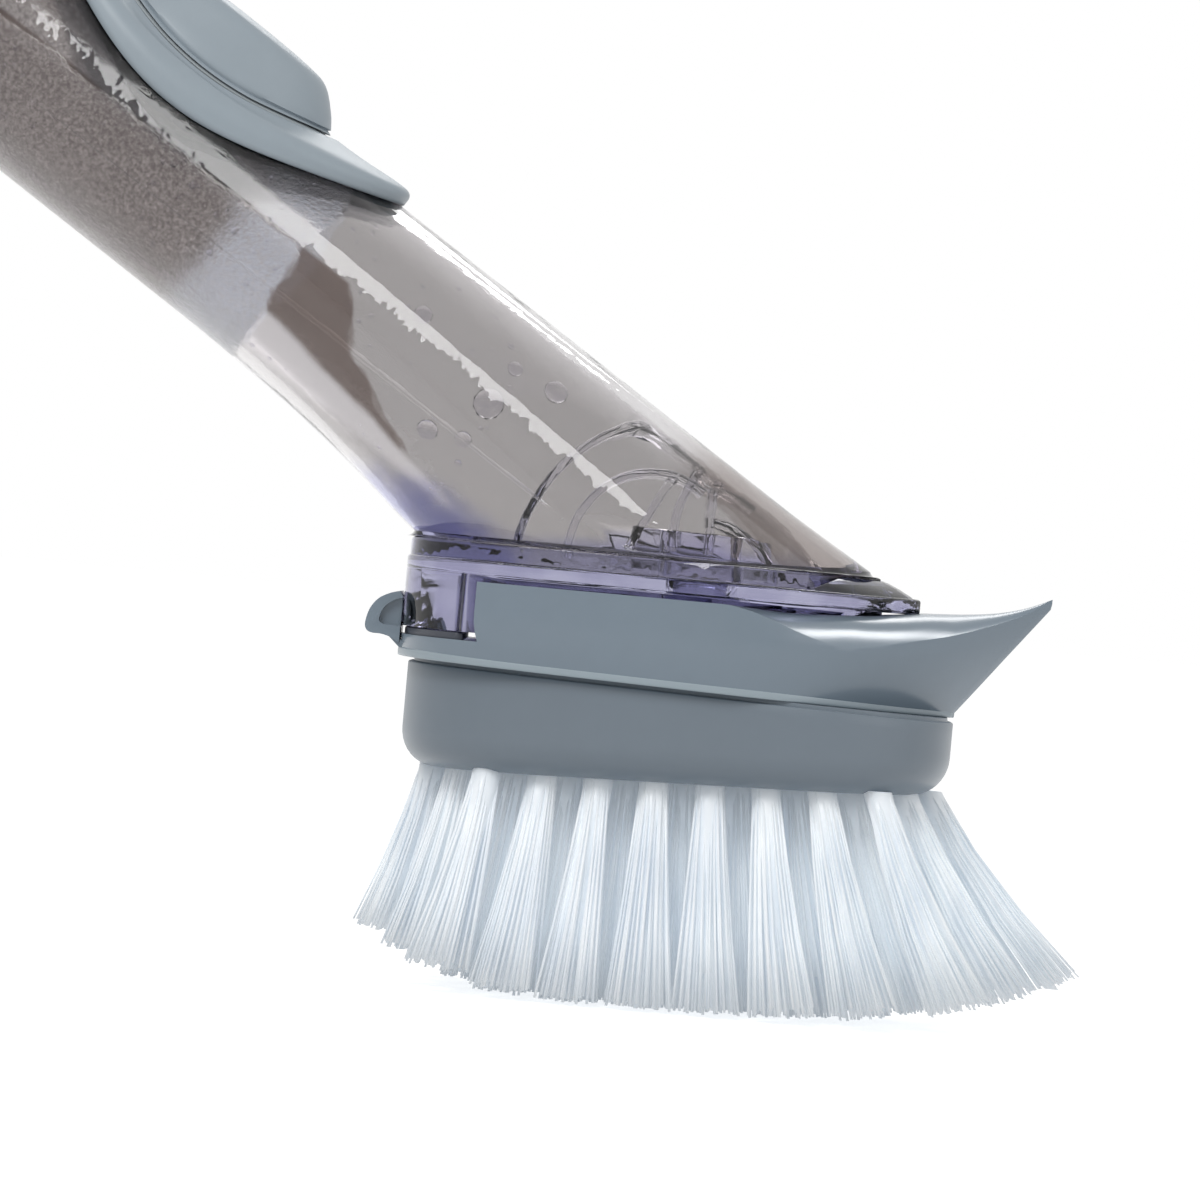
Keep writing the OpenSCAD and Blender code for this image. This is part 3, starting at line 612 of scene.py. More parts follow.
def bristleTree():
    inputs = (
        ("Geometry", "Geometry", None), ("Strands", "Int", 100), ("Tuft Radius", "Float", 0.0018),
        ("Strand Radius", "Float", 0.00015), ("Spread", "Float", 0.09), ("Core Radius", "Float", 0.0019),
        ("Core Length", "Float", 0.6), ("Seed", "Int", 1), ("Material", "Material", None),
    )
    tree, source, result = newGroup("tuftStrands", inputs, (("Geometry", "Geometry"),), "Geometry")
    add = builder(tree)

    def chance(low, high, offset):
        seed = value(source, "Seed") + offset
        return add("FunctionNodeRandomValue", {2: low, 3: high, "Seed": seed}, 1, data_type="FLOAT")

    def named(name):
        return add("GeometryNodeInputNamedAttribute", {"Name": name}, "Attribute", data_type="FLOAT")

    def keep(geometry, **fields):
        for name, field in fields.items():
            inputs = {"Name": name, "Geometry": geometry, "Value": field}
            geometry = add("GeometryNodeStoreNamedAttribute", inputs, data_type="FLOAT", domain="POINT")
        return geometry

    def plant(points, piece, hang, width):
        hung = add("GeometryNodeTransform", {"Geometry": piece, "Translation": (0, 0, hang)})
        size = add("ShaderNodeCombineXYZ", {0: width, 1: width, 2: named("drop")})
        return add("GeometryNodeInstanceOnPoints", {"Points": points, "Instance": hung, "Scale": size})

    roots = value(source, "Geometry")
    height = add("ShaderNodeSeparateXYZ", {0: add("GeometryNodeInputPosition", {})}, 2)
    copies = {"Geometry": roots, "Amount": value(source, "Strands")}
    strands = add("GeometryNodeDuplicateElements", copies, domain="POINT")
    turn = chance(0.0, 2 * math.pi, 0)
    away = calc("SQRT", chance(0.0, 1.0, 1))
    across, along = away * calc("COSINE", turn), away * calc("SINE", turn)
    spread, tuftRadius = value(source, "Spread"), value(source, "Tuft Radius")
    slopeX = calc("TANGENT", named("leanX") + (across * spread + chance(-0.022, 0.022, 2)))
    slopeY = calc("TANGENT", named("leanY") + (along * spread + chance(-0.022, 0.022, 3)))
    stretch = calc("SQRT", slopeX * slopeX + slopeY * slopeY + 1.0)
    full = named("reach") * chance(0.955, 1.0, 4) / stretch
    drop = calc("MINIMUM", full, height - chance(0.0, 0.0005, 5))
    strands = keep(strands, drop=drop, slopeX=slopeX, slopeY=slopeY, rootZ=height)
    offset = add("ShaderNodeCombineXYZ", {0: across * tuftRadius, 1: along * tuftRadius})
    strands = add("GeometryNodeSetPosition", {"Geometry": strands, "Offset": offset})

    # One strand, a unit long, hanging below its point
    thin = value(source, "Strand Radius")
    shape = {"Vertices": 5, "Side Segments": 3, "Fill Segments": 1, "Depth": 1.0, "Radius": thin}
    strand = add("GeometryNodeMeshCylinder", shape, "Mesh", fill_type="TRIANGLE_FAN")
    sown = plant(strands, strand, -0.5, chance(0.85, 1.15, 6))

    # The wet middle of each tuft, which keeps together and tapers
    coreDrop = named("reach") * value(source, "Core Length")
    slopeX, slopeY = (calc("TANGENT", named(name)) for name in ("leanX", "leanY"))
    cores = keep(roots, drop=coreDrop, slopeX=slopeX, slopeY=slopeY, rootZ=height)
    shape = {"Vertices": 14, "Side Segments": 6, "Radius Top": 1.0, "Radius Bottom": 0.5, "Depth": 1.0}
    planted = plant(cores, add("GeometryNodeMeshCone", shape, "Mesh"), -1.0, value(source, "Core Radius"))
    both = addNode(tree, "GeometryNodeJoinGeometry")
    feed(both, {"Geometry": sown})
    feed(both, {"Geometry": planted})
    real = add("GeometryNodeRealizeInstances", {"Geometry": value(both)})

    # Lean each strand, a little more towards its tip
    deep = calc("MAXIMUM", named("rootZ") - height, 0.0)
    bow = deep * (deep / named("drop") * 0.24 + 0.76)
    lean = add("ShaderNodeCombineXYZ", {0: bow * named("slopeX"), 1: bow * named("slopeY")})
    bent = add("GeometryNodeSetPosition", {"Geometry": real, "Offset": lean})
    painted = add("GeometryNodeSetMaterial", {"Geometry": bent, "Material": value(source, "Material")})
    feed(result, {"Geometry": painted})
    return tree


# Points that carry numbers, for Geometry Nodes to grow on
def pointMesh(name, points, layers):
    mesh = bpy.data.meshes.new(name)
    mesh.from_pydata([tuple(p) for p in points], [], [])
    for label, values in layers.items():
        if isinstance(values[0], float):
            mesh.attributes.new(label, "FLOAT", "POINT").data.foreach_set("value", values)
        else:
            flat = [c for vector in values for c in vector]
            mesh.attributes.new(label, "FLOAT_VECTOR", "POINT").data.foreach_set("vector", flat)
    return mesh


def growOn(piece, tree, values, layers):
    growth = piece.modifiers.new("growth", "NODES")
    growth.node_group = tree
    for item in tree.interface.items_tree:
        if item.item_type == "SOCKET" and item.in_out == "INPUT" and item.name in values:
            growth[item.identifier] = values[item.name]
    bakeModifiers(piece)
    for name in layers:
        layer = piece.data.attributes.get(name)
        if layer:
            piece.data.attributes.remove(layer)
    piece.data.shade_smooth()


tufts = bristleTree()


def bristleRow(row):
    count = bristles["rowTufts"][row]
    y = (row - 2) * bristles["rowPitch"]
    tilt = math.tan(math.radians(bristles["rootTilt"]))
    sunk, start = bristles["sunk"], bristles["shorterFrom"]
    points, leans, reaches = [], [], []
    for i in range(count):
        x = (i - (count - 1) / 2) * bristles["tuftPitch"]
        points.append(toRow(x, y, bristles["rootHeight"] + x * tilt + sunk))
        ahead = bristles["leanFront"] * x + bristles["leanMore"] * x * x
        leans.append(math.radians(bristles["lean"] + (bristles["leanRear"] * x if x < 0 else ahead)))
        shorter = bristles["shorter"] * (x - start) ** 2 if x < start else 0
        reaches.append((bristles["length"] + sunk - shorter) / 1000)
    layers = {"leanX": leans, "leanY": [math.radians(bristles["leanSide"] * y)] * count, "reach": reaches}
    piece = makeObject(f"tuftRow{row + 1}", pointMesh("tuftRoots", points, layers))
    growOn(piece, tufts, {
        "Strands": bristles["strands"],
        "Tuft Radius": bristles["tuftRadius"] / 1000,
        "Strand Radius": bristles["strandRadius"] / 1000,
        "Spread": math.radians(bristles["spread"]),
        "Core Radius": bristles["coreRadius"] / 1000,
        "Core Length": bristles["coreLength"],
        "Seed": bristles["seed"] + row,
        "Material": nylon,
    }, (*layers, "drop", "slopeX", "slopeY", "rootZ"))
    dress(piece, "head", f"bristle_row_{row + 1}")


for row in range(len(bristles["rowTufts"])):
    bristleRow(row)
print("bristles grown")

# Clear handle: one stack of rings up the outside, over the neck and down the inside

foot = {
    "flangeRear": 38.9,
    "flangeTip": 29.7,
    "flangeHalf": 23.6,
    "flangeStep": 3.7,
    "fillet": 1.1,
}
handleCorner = Vector((handle["cornerX"], 0, handle["topZ"]))
handleMid = -handle["depth"] / 2
halfDepth, halfWidth = handle["depth"] / 2, handle["width"] / 2
shoulderEnd = handle["length"] + handle["shoulder"]
neckEnd = shoulderEnd + handle["neckLength"]


def onHandle(s, t, y=0.0):
    return toRow(*(handleCorner + up * s + out * t + Vector((0, y, 0))))


def ovalRing(s, a, b):
    return [onHandle(s, handleMid + a * math.cos(v), b * math.sin(v)) for v in circle(handle["points"])]


def footRing(z, inset):
    middle = handle["cornerX"] - halfDepth / math.sin(slant)
    ring = []
    for v in circle(handle["points"]):
        c, s = math.cos(v), math.sin(v)
        part = inset * (1 - 0.62 * max(c, 0) if inset < 0 else 1)
        side = halfWidth + (handle["skirtHalf"] - halfWidth) * s * s - part
        if c >= 0:
            ring.append(toRow(middle + (halfDepth - part) / math.sin(slant) * c, side * s, z))
        else:
            rear = middle + foot["flangeRear"] - 0.6 - part
            ring.append(toRow(middle - rear * (-c) ** 0.8, side * signed(s, 0.8), z))
    return ring


def flangeRing(z, inset=0.0):
    middle = handle["cornerX"] - halfDepth / math.sin(slant)
    half = foot["flangeHalf"] - 1.2 - inset
    ahead = foot["flangeTip"] - foot["flangeStep"] - 1.8 - middle - inset
    behind = middle + foot["flangeRear"] - 0.3 - inset
    ring = []
    for v in circle(handle["points"]):
        c, s = math.cos(v), math.sin(v)
        if c >= 0:
            side = half * math.copysign(1, s) * (1 - c ** 2.4) if abs(s) > 1e-9 else 0
            ring.append(toRow(middle + ahead * c, side, z))
        else:
            ring.append(toRow(middle - behind * (-c) ** 0.7, half * signed(s, 0.75), z))
    return ring


def bendRings(start, inset, steps=20):
    a, b = halfDepth - inset, halfWidth - inset
    turning = ovalRing(handle["skirtReach"], a, b)
    end = ovalRing(handle["bendEnd"], a, b)
    rings = []
    for i in range(1, steps + 1):
        u = i / steps
        rows = zip(start, turning, end)
        rings.append([p * (1 - u) ** 2 + q * 2 * u * (1 - u) + r * u * u for p, q, r in rows])
    return rings


def shoulderRings(inset, endRadius, steps=10):
    a, b = halfDepth - inset, halfWidth - inset
    rings = []
    for i in range(1, steps + 1):
        v = math.radians(90 * i / steps)
        shrink = 1 - math.cos(v)
        s = handle["length"] + handle["shoulder"] * math.sin(v)
        rings.append(ovalRing(s, mix(a, endRadius, shrink), mix(b, endRadius, shrink)))
    return rings


def bottleShell():
    wall, fillet = handle["wall"], foot["fillet"]
    top, seam = handle["topZ"], handle["seamZ"]
    rings = [flangeRing(z, i) for z, i in ((seam, 0), (top - 0.5, 0), (top - 0.15, 0.12), (top, 0.45))]
    for i in range(4):
        v = math.radians(90 * i / 4)
        rings.append(footRing(top + fillet * (1 - math.cos(v)), -fillet * (1 - math.sin(v))))
    rings += bendRings(footRing(top + 0.2, 0), 0)[1:]
    stations = [mix(handle["bendEnd"], handle["length"], i / 14) for i in range(1, 15)]
    rings += [ovalRing(s, halfDepth, halfWidth) for s in stations]
    r = handle["neckRadius"]
    rings += shoulderRings(0, r + 1.6)
    for s, radius in (
        (shoulderEnd + 0.05, r + 0.3), (shoulderEnd + 0.3, r), (neckEnd - 0.3, r), (neckEnd, r - 0.3),
        (neckEnd, r - wall),
    ):
        rings.append(ovalRing(s, radius, radius))
    inside = [footRing(seam, wall), footRing(top - 1, wall), footRing(top, wall)]
    inside += bendRings(inside[-1], wall)
    inside += [ovalRing(s, halfDepth - wall, halfWidth - wall) for s in stations]
    inside += shoulderRings(wall, (r + r - wall) / 2)[:-1]
    inside += [ovalRing(shoulderEnd + 0.6, r - wall, r - wall)]
    return loft("clearHandle", rings + inside[::-1], bottleClear, closed=True)


# The slot under the button, as a prism across the wall
def slotPrism(halfLength, halfAcross, low, high):
    plan = ovalPlan(halfLength, halfAcross)
    return loft("slot", [[onHandle(button["at"] - x, t, y) for x, y in plan] for t in (low, high)])


def neckThread():
    steps = int(handle["threadTurns"] * 48)
    tooth = handle["threadPitch"] * 0.18
    section = ((0, -1), (0.75, -0.75), (1, -0.35), (1, 0.35), (0.75, 0.75), (0, 1))
    rings = []
    for i in range(steps + 1):
        v = 2 * math.pi * handle["threadTurns"] * i / steps
        s = shoulderEnd + 3.2 + handle["threadPitch"] * handle["threadTurns"] * i / steps
        fade = min(1, 0.1 + i / 5, 0.1 + (steps - i) / 5)
        low, high = handle["neckRadius"] - 0.4, handle["neckRadius"] + handle["threadHeight"] * fade
        ring = []
        for f, d in section:
            r = mix(low, high, f)
            ring.append(onHandle(s + d * tooth, handleMid + r * math.cos(v), r * math.sin(v)))
        rings.append(ring)
    return loft("neckThread", rings, bottleClear)


button = {
    "at": 111.0,
    "halfLength": 18.4,
    "halfWidth": 11.6,
    "top": 7.2,
    "low": 1.5,
    "slotLow": -7.86,
    "collarHalfLength": 27.0,
    "collarHalfWidth": 15.8,
    "collarPower": 0.84,
    "brim": 4.6,
    "recess": 1.22,
    "gap": 0.7,
}


def surfaceHeight(grow, y):
    return handleMid + (halfDepth + grow) * math.sqrt(max(0, 1 - (y / (halfWidth + grow)) ** 2))


shell = bottleShell()
cut(shell, slotPrism(button["halfLength"] + 0.8, button["halfWidth"] + 0.8, button["slotLow"], 4))
smoothEdges(shell.data, 28)
dress(shell, "handle", "bottle")
dress(neckThread(), "handle")
print("clear handle made")

# Collar: an oval band on the handle's curve, with a rounded edge and a brim

def collarOutline(v):
    c = math.cos(v)
    reach = button["collarHalfLength"] * signed(c, 0.94) + (button["brim"] * c ** 3 if c > 0 else 0)
    return Vector((reach, button["collarHalfWidth"] * signed(math.sin(v), button["collarPower"])))


def slotOutline(v, grow):
    a, b = button["halfLength"] + grow, button["halfWidth"] + grow
    return Vector((a * math.cos(v), b * math.sin(v)))


collarEdge = (
    (0.25, 0.12), (0.0, 0.3), (0.0, 0.8), (0.0, 1.3), (0.08, 1.6), (0.26, 1.86), (0.55, 2.05),
    (0.95, 2.16), (1.5, 2.2),
)
collarTop = ((0.15, 2.14), (0.32, 1.98), (0.5, 1.8), (0.68, 1.66), (0.85, 1.58))
collarLip = ((0.45, 1.56), (0.18, 1.52), (0.03, 1.42), (0.0, 1.32), (0.0, button["recess"]))


# Rings from the collar's edge to its hole and back underneath; inward tells how far in of the span
def collar():
    def ring(grow, inward):
        points = []
        for v in circle(160):
            edge = collarOutline(v)
            toHole = slotOutline(v, button["gap"]) - edge
            p = edge + toHole / toHole.length * inward(toHole.length)
            points.append(onHandle(button["at"] - p.x, surfaceHeight(grow, p.y), p.y))
        return points

    rings = [ring(g, lambda span, i=i: i) for i, g in collarEdge]
    rings += [ring(g, lambda span, f=f: 1.5 + (span - 2.0) * f) for f, g in collarTop]
    rings += [ring(g, lambda span, i=i: span - i) for i, g in collarLip]
    rings.append(ring(button["recess"], lambda span: max(1.3, span * 0.4)))
    rings.append(ring(0.12, lambda span: max(1.2, span * 0.4 - 0.1)))
    return loft("buttonCollar", rings, buttonGrey, closed=True)


dress(collar(), "handle", "button_collar")

# Button: a loaf with broad sides, a steep front and a crowned top; its underside follows the handle

domeLevels = (
    (0.0, 1.0, 1.0), (0.12, 1.0, 1.0), (0.28, 0.995, 0.955), (0.43, 0.985, 0.89),
    (0.62, 0.91, 0.815), (0.78, 0.825, 0.755), (0.86, 0.775, 0.715), (0.905, 0.735, 0.675),
    (0.94, 0.69, 0.615), (0.962, 0.62, 0.53), (0.98, 0.5, 0.41), (0.992, 0.33, 0.26),
    (0.998, 0.16, 0.12), (1.0, 0.02, 0.02),
)
domeHeights = (
    0, 0.02, 0.045, 0.07, 0.1, 0.16, 0.24, 0.32, 0.4, 0.48, 0.56, 0.63, 0.69, 0.75, 0.8, 0.84,
    0.87, 0.9, 0.925, 0.95, 0.97, 0.985, 0.995, 1.0,
)


def levelAt(f):
    for (f0, l0, w0), (f1, l1, w1) in zip(domeLevels, domeLevels[1:]):
        if f <= f1:
            u = (f - f0) / (f1 - f0)
            return mix(l0, l1, u), mix(w0, w1, u)
    return domeLevels[-1][1:]


def pumpButton():
    at, length, width = button["at"], button["halfLength"], button["halfWidth"]
    low = surfaceHeight(button["low"], width) - 0.5
    rise = button["top"] - low
    rings = [[] for h in domeHeights]
    under = [[] for i in range(5)]
    for v in circle(128):
        c, s = math.cos(v), math.sin(v)
        base = surfaceHeight(button["low"], width * s)
        for i in range(4):
            base = surfaceHeight(button["low"], width * levelAt((base - low) / rise)[1] * s)
        for ring, h in zip(rings, domeHeights):
            t = mix(base, button["top"], h)
            l, w = levelAt((t - low) / rise)
            crease = 1 - 0.035 * max(0, 1 - abs(h - 0.05) / 0.04)
            ring.append(onHandle(at - length * l * c * crease, t, width * w * s * crease))
        l, w = levelAt((base - low) / rise)
        for i, ring in enumerate(under):
            k = 1 - (i + 1) / 5.2
            y = width * w * s * k
            ring.append(onHandle(at - length * l * c * k, surfaceHeight(button["low"], y), y))
    return loft("pumpButton", under[::-1] + rings, buttonGrey)


dome = pumpButton()
smoothEdges(dome.data, 50)
dress(dome, "button", "button_dome")
print("collar and button made")

# Brush head: tray with its scraper nose, bead along the skirt, block and tab

tray = {
    "rear": 38.9,
    "front": 35.0,
    "half": 25.0,
    "draft": 1.4,
    "wall": 2.0,
    "scraperX": 47.2,
    "scraperZ": 58.0,
    "shoulderZ": 49.4,
    "floorZ": 45.8,
    "wallRear": 30.4,
    "skirtRearZ": 42.9,
    "skirtFrontZ": 41.1,
    "beadHeight": 1.15,
    "beadOut": 0.2,
    "noseX": 28.0,
    "noseZ": 48.6,
    "noseRadius": 1.6,
    "noseHalf": 3.2,
}
skirtFall = (tray["skirtRearZ"] - tray["skirtFrontZ"]) / (tray["front"] + tray["rear"])
edgeLine = (
    (-80, 53.6), (3, 53.6), (6, 53.2), (9.2, 52.3), (12.5, 51.1), (16, 49.9), (19.6, 49.3),
    (23.5, 49.7), (27.5, 50.6), (34, 52.1), (40.5, 54.3), (44, 55.9), (47.2, 58.0), (60, 66),
)
crownLine = (
    (-80, 53.6), (3, 53.6), (22, 53.7), (27, 54.15), (30.5, 54.6), (36, 55.0), (40.4, 55.6),
    (44, 56.6), (47.2, 58.0), (60, 64),
)


def alongLine(line, x):
    for i, (x1, z1) in enumerate(line[1:], 1):
        if x <= x1:
            x0, z0 = line[i - 1]
            before = line[max(i - 2, 0)]
            after = line[min(i + 1, len(line) - 1)]
            u = (x - x0) / (x1 - x0)
            slope0 = (z1 - before[1]) / (x1 - before[0]) * (x1 - x0)
            slope1 = (after[1] - z0) / (after[0] - x0) * (x1 - x0)
            if abs(z1 - z0) < 1e-6:
                return z0
            h = u * u * (3 - 2 * u)
            return z0 + (z1 - z0) * h + slope0 * (u ** 3 - 2 * u * u + u) + slope1 * (u ** 3 - u * u)
    return line[-1][1]


# Half width and outline of the tray's wall at a height
def wallValues(z):
    low, shoulder, top = tray["skirtFrontZ"] - 1, tray["shoulderZ"], tray["scraperZ"]
    skirt, growth = tray["skirtFrontZ"], tray["scraperX"] - tray["front"]
    front = min(tray["scraperX"], tray["front"] + (z - skirt) * growth / (top - 1.2 - skirt))
    if z < shoulder:
        f = (z - low) / (shoulder - low)
        ease = 1 - (1 - f) ** 2
        return 2, front, tray["half"] - tray["draft"] * (1 - ease), mix(2.2, 2, f)
    f = (z - shoulder) / (top - shoulder)
    return mix(2, 0, min(f, 1)), front, tray["half"], mix(2, 1.5, min(f, 1))


def wallOutline(z, inset=0.0, steps=40):
    start, front, half, point = wallValues(z)
    return pointedPlan(tray["rear"] - inset, 16, start, front - inset * 1.2, half - inset, 2.8, point, steps)


def wallHalf(x, z):
    start, front, half, point = wallValues(z)
    if x <= start:
        return half
    return half * max(0, 1 - (min(1, (x - start) / (front - start))) ** point)


# The roll of the nose: everything over it is cut away
def deckCutter():
    rings = []
    across = [math.sin(math.radians(90 * i / 20)) for i in range(-20, 21)]
    for x in [-60, -20, 0] + [3 + 0.75 * i for i in range(61)] + [49.2]:
        edge, crown = alongLine(edgeLine, x), alongLine(crownLine, x)
        half = max(wallHalf(x, edge), 0.9)
        power = mix(9, 3.4, min(1, max(0, (x - 20) / 14)))
        ring = [toRow(x, r * half, edge + (crown - edge) * (1 - abs(r) ** power)) for r in across]
        low = edge - ((crown - edge) * 1.6 + 0.5)
        over = [toRow(x, y, z) for y, z in ((40, low), (40, 90), (-40, 90))]
        rings.append([toRow(x, -40, low)] + ring + over)
    return loft("above", rings)


def skirtHeight(x):
    return tray["skirtRearZ"] - skirtFall * (x + tray["rear"])


def headTray():
    rings = []
    for i in range(23):
        low, high = (tray["skirtFrontZ"], tray["shoulderZ"]) if i < 9 else (tray["shoulderZ"], 59.5)
        z = mix(low, high, i / 8 if i < 9 else (i - 8) / 14)
        slope = max(0, 1 - i / 8)
        rings.append([toRow(x, y, z + (skirtHeight(x) - low) * slope) for x, y in wallOutline(z)])
    body = loft("headTray", rings, trayGrey)
    rear, inner = tray["wallRear"], tray["half"] - tray["wall"]
    channel = pointedPlan(rear + 30, rear + 29, -2, foot["flangeTip"] + 1.9, inner, 2, 2)
    reach, x, z = tab["root"] + 0.25, -tab["x"], tab["z"]
    turns = [math.radians(-130 + 260 * i / 30) for i in range(31)]
    keyhole = [(x + reach * math.cos(a), z + reach * math.sin(a)) for a in turns]
    keyhole += [(x - 5, z + 0.7), (x - 5, z - reach * math.sin(math.radians(50)))]
    cut(
        body,
        deckCutter(),
        slab("channel", channel, tray["floorZ"], 80),
        block("rear", (-80, -40, tray["floorZ"]), (-rear, 40, 85)),
        noseSocket(),
        slab("outlet", ovalPlan(5.0, 5.0, 64), 30, 60),
        slab("spigot", ovalPlan(29.6, 16.6), 30, tray["skirtRearZ"] + 0.6),
        crossBar("tabRoom", keyhole, tab["half"] + 0.2),
    )
    return softenEdges(body, 0.42, 3, 34, 40)


def noseSocket():
    radius, half = tray["noseRadius"] + 0.3, tray["noseHalf"] + 0.6
    return rod("socket", tray["noseX"], tray["noseZ"], radius, half)


# The hook in front of the base's nose bar
def noseHook():
    half = tray["noseHalf"] + 1.6
    top = tray["noseZ"] + tray["noseRadius"] + 1.0
    corners = (tray["noseX"], -half, tray["floorZ"] - 0.5), (tray["noseX"] + 4.2, half, top)
    return softenEdges(cut(block("noseHook", *corners, trayGrey), noseSocket()), 0.3)


# A thin bead swept round the skirt's lower edge, in a lighter grey that is a painted highlight
def skirtBead():
    outline = [Vector(p) for p in wallOutline(tray["skirtFrontZ"] + 0.4, 0, 60)]
    section = (
        (-0.7, 0.02), (0.12, 0.02), (0.24, 0.1), (0.28, 0.3), (0.28, 0.75), (0.22, 1.0),
        (0.08, 1.13), (-0.3, 1.16), (-0.7, 1.16),
    )
    rings = []
    for i, p in enumerate(outline):
        tangent = (outline[(i + 1) % len(outline)] - outline[i - 1]).normalized()
        normal = Vector((tangent.y, -tangent.x))
        if normal.dot(p) < 0:
            normal = -normal
        normal *= tray["beadOut"] / 0.28
        z, scale = skirtHeight(p.x), tray["beadHeight"] / 1.15
        rings.append([toRow(p.x + normal.x * o, p.y + normal.y * o, z + h * scale) for o, h in section])
    return loft("skirtBead", rings, beadGrey, closed=True)


base = {
    "flangeZ": 54.3,
    "flangeThick": 2.1,
    "blockZ": 46.9,
    "wall": 2.0,
    "gap": 0.4,
    "window": 4.6,
}
brushBlock = {
    "half": 22.6,
    "rear": 37.6,
    "front": 35.4,
    "round": 5.0,
    "rootZ": 29.6,
    "tilt": 1.8,
    "power": 2.5,
    "channel": 1.5,
}


def blockRing(inset, height):
    rear, front, half = (brushBlock[key] - inset for key in ("rear", "front", "half"))
    outline = bluntPlan(rear, 14, 12, front, half, brushBlock["power"], 40)
    return [toRow(x, y, height(x)) for x, y in outline]


def brushBody():
    tilt = math.tan(math.radians(brushBlock["tilt"]))

    def tilted(z):
        return lambda x: brushBlock["rootZ"] + z + x * tilt

    rings = [blockRing(13, tilted(0)), blockRing(6.5, tilted(0)), blockRing(4.9, tilted(0.02))]
    for i in range(1, 11):
        v = math.radians(90 * i / 10)
        rise = brushBlock["round"] * (1 - math.cos(v))
        rings.append(blockRing(4.6 * (1 - math.sin(v)), tilted(rise)))
    for f in (0.25, 0.5, 0.75):
        shoulder = tilted(brushBlock["round"])
        rings.append(blockRing(0, lambda x, f=f: mix(shoulder(x), skirtHeight(x) - 0.7, f)))
    for inset, drop in ((0.0, 0.75), (0.1, 0.62), (0.35, 0.52), (0.75, 0.48), (0.8, 0.03)):
        rings.append(blockRing(inset, lambda x, drop=drop: skirtHeight(x) - drop))
    body = loft("brushBlock", rings, blockGrey)
    cut(body, slab("channel", ovalPlan(brushBlock["channel"], brushBlock["channel"], 48), 20, 60))
    smoothEdges(body.data, 42)
    return body


# Release tab: a hollow scoop with a rounded lip, its root in the ledge's groove and a catch for
# the base
tab = {
    "x": 37.9,
    "z": 44.35,
    "half": 7.6,
    "root": 0.9,
    "wall": 1.15,
}
scoopOuter = (
    (-38.9, 44.5), (-39.7, 44.95), (-40.5, 45.3), (-41.5, 45.5), (-42.7, 45.55), (-43.4, 45.95),
    (-43.6, 46.9), (-43.15, 48.7), (-42.1, 50.15), (-40.6, 51.0), (-39.3, 51.35),
)
scoopInner = (
    (-38.0, 46.7), (-40.0, 46.75), (-41.2, 46.85), (-41.75, 47.2), (-41.7, 48.0), (-41.2, 49.1),
    (-40.2, 49.95), (-39.2, 50.4), (-38.0, 50.45),
)
bridgeLine = ((-37.9, 43.8), (-38.9, 43.95), (-40.7, 45.6), (-40.7, 46.3), (-39.0, 45.0), (-37.9, 44.85))
catchLine = ((-42.0, 48.2), (-38.7, 48.55), (-38.25, 49.25), (-38.7, 49.75), (-41.3, 50.0))


def releaseTab():
    outer, inner = ([tuple(p) for p in smoothPath(line, 4)] for line in (scoopOuter, scoopInner))
    half, cheek = tab["half"], tab["wall"]
    body = crossBar("releaseTab", outer + [(-38.9, 50.7), (-38.9, 46.0)], half, trayGrey)
    cut(body, crossBar("hollow", inner, half - 2 * cheek))
    for side in (-1, 1):
        edges = (side * (half - cheek), side * (half + 2))
        cut(body, loft("cheekPocket", [[toRow(x, y, z) for x, z in inner] for y in edges]))
    return softenEdges(body, 0.32, 3, 40, 40)


def tabParts():
    root = rod("tabRoot", -tab["x"], tab["z"], tab["root"], tab["half"], trayGrey)
    smoothEdges(root.data, 40)
    bridge = softenEdges(crossBar("tabBridge", bridgeLine, tab["half"] - 0.4, trayGrey), 0.15)
    catch = softenEdges(crossBar("tabCatch", catchLine, tab["half"] * 0.6, trayGrey), 0.12)
    return [root, bridge, catch]


dress(headTray(), "head", "head_tray")
dress(noseHook(), "head")
dress(skirtBead(), "head")
# A dark rib on the rear ledge: painted shade, a dark piece that makes the shadowed line there
ledge = [p for p in wallOutline(tray["floorZ"], 0.5) if p[0] < -31]
ledge.sort(key=lambda p: (p[1], -p[0] if p[1] < 0 else p[0]))
ledge = [(-30.3, ledge[0][1])] + ledge + [(-30.3, ledge[-1][1])]
rib = slab("ledgeRib", ledge, tray["floorZ"] - 0.2, base["blockZ"] - 0.15, darkGrey)
dress(softenEdges(rib, 0.2, 2), "head")
dress(brushBody(), "head", "brush_block")
dress(releaseTab(), "tab", "release_tab")
for piece in tabParts():
    dress(piece, "tab")
print("brush head made")

# Clear base: pointed flange, hollow block under it, windows and the nose bar

prowLevels = ((55.9, 0.5, 0.3), (56.6, 1.3, 0.5), (57.5, 3.0, 1.0), (58.2, 4.6, 1.6), (58.5, 5.6, 2.2))


def roundedSlab(name, outlineOf, low, high, radius, steps=3):
    rings = []
    for start, way in ((low, 1), (high, -1)):
        for i in range(steps + 1)[::way]:
            v = math.radians(90 * i / steps)
            z = start + way * radius * (1 - math.cos(v))
            rings.append([toRow(x, y, z) for x, y in outlineOf(radius * (1 - math.sin(v)))])
    return loft(name, rings)


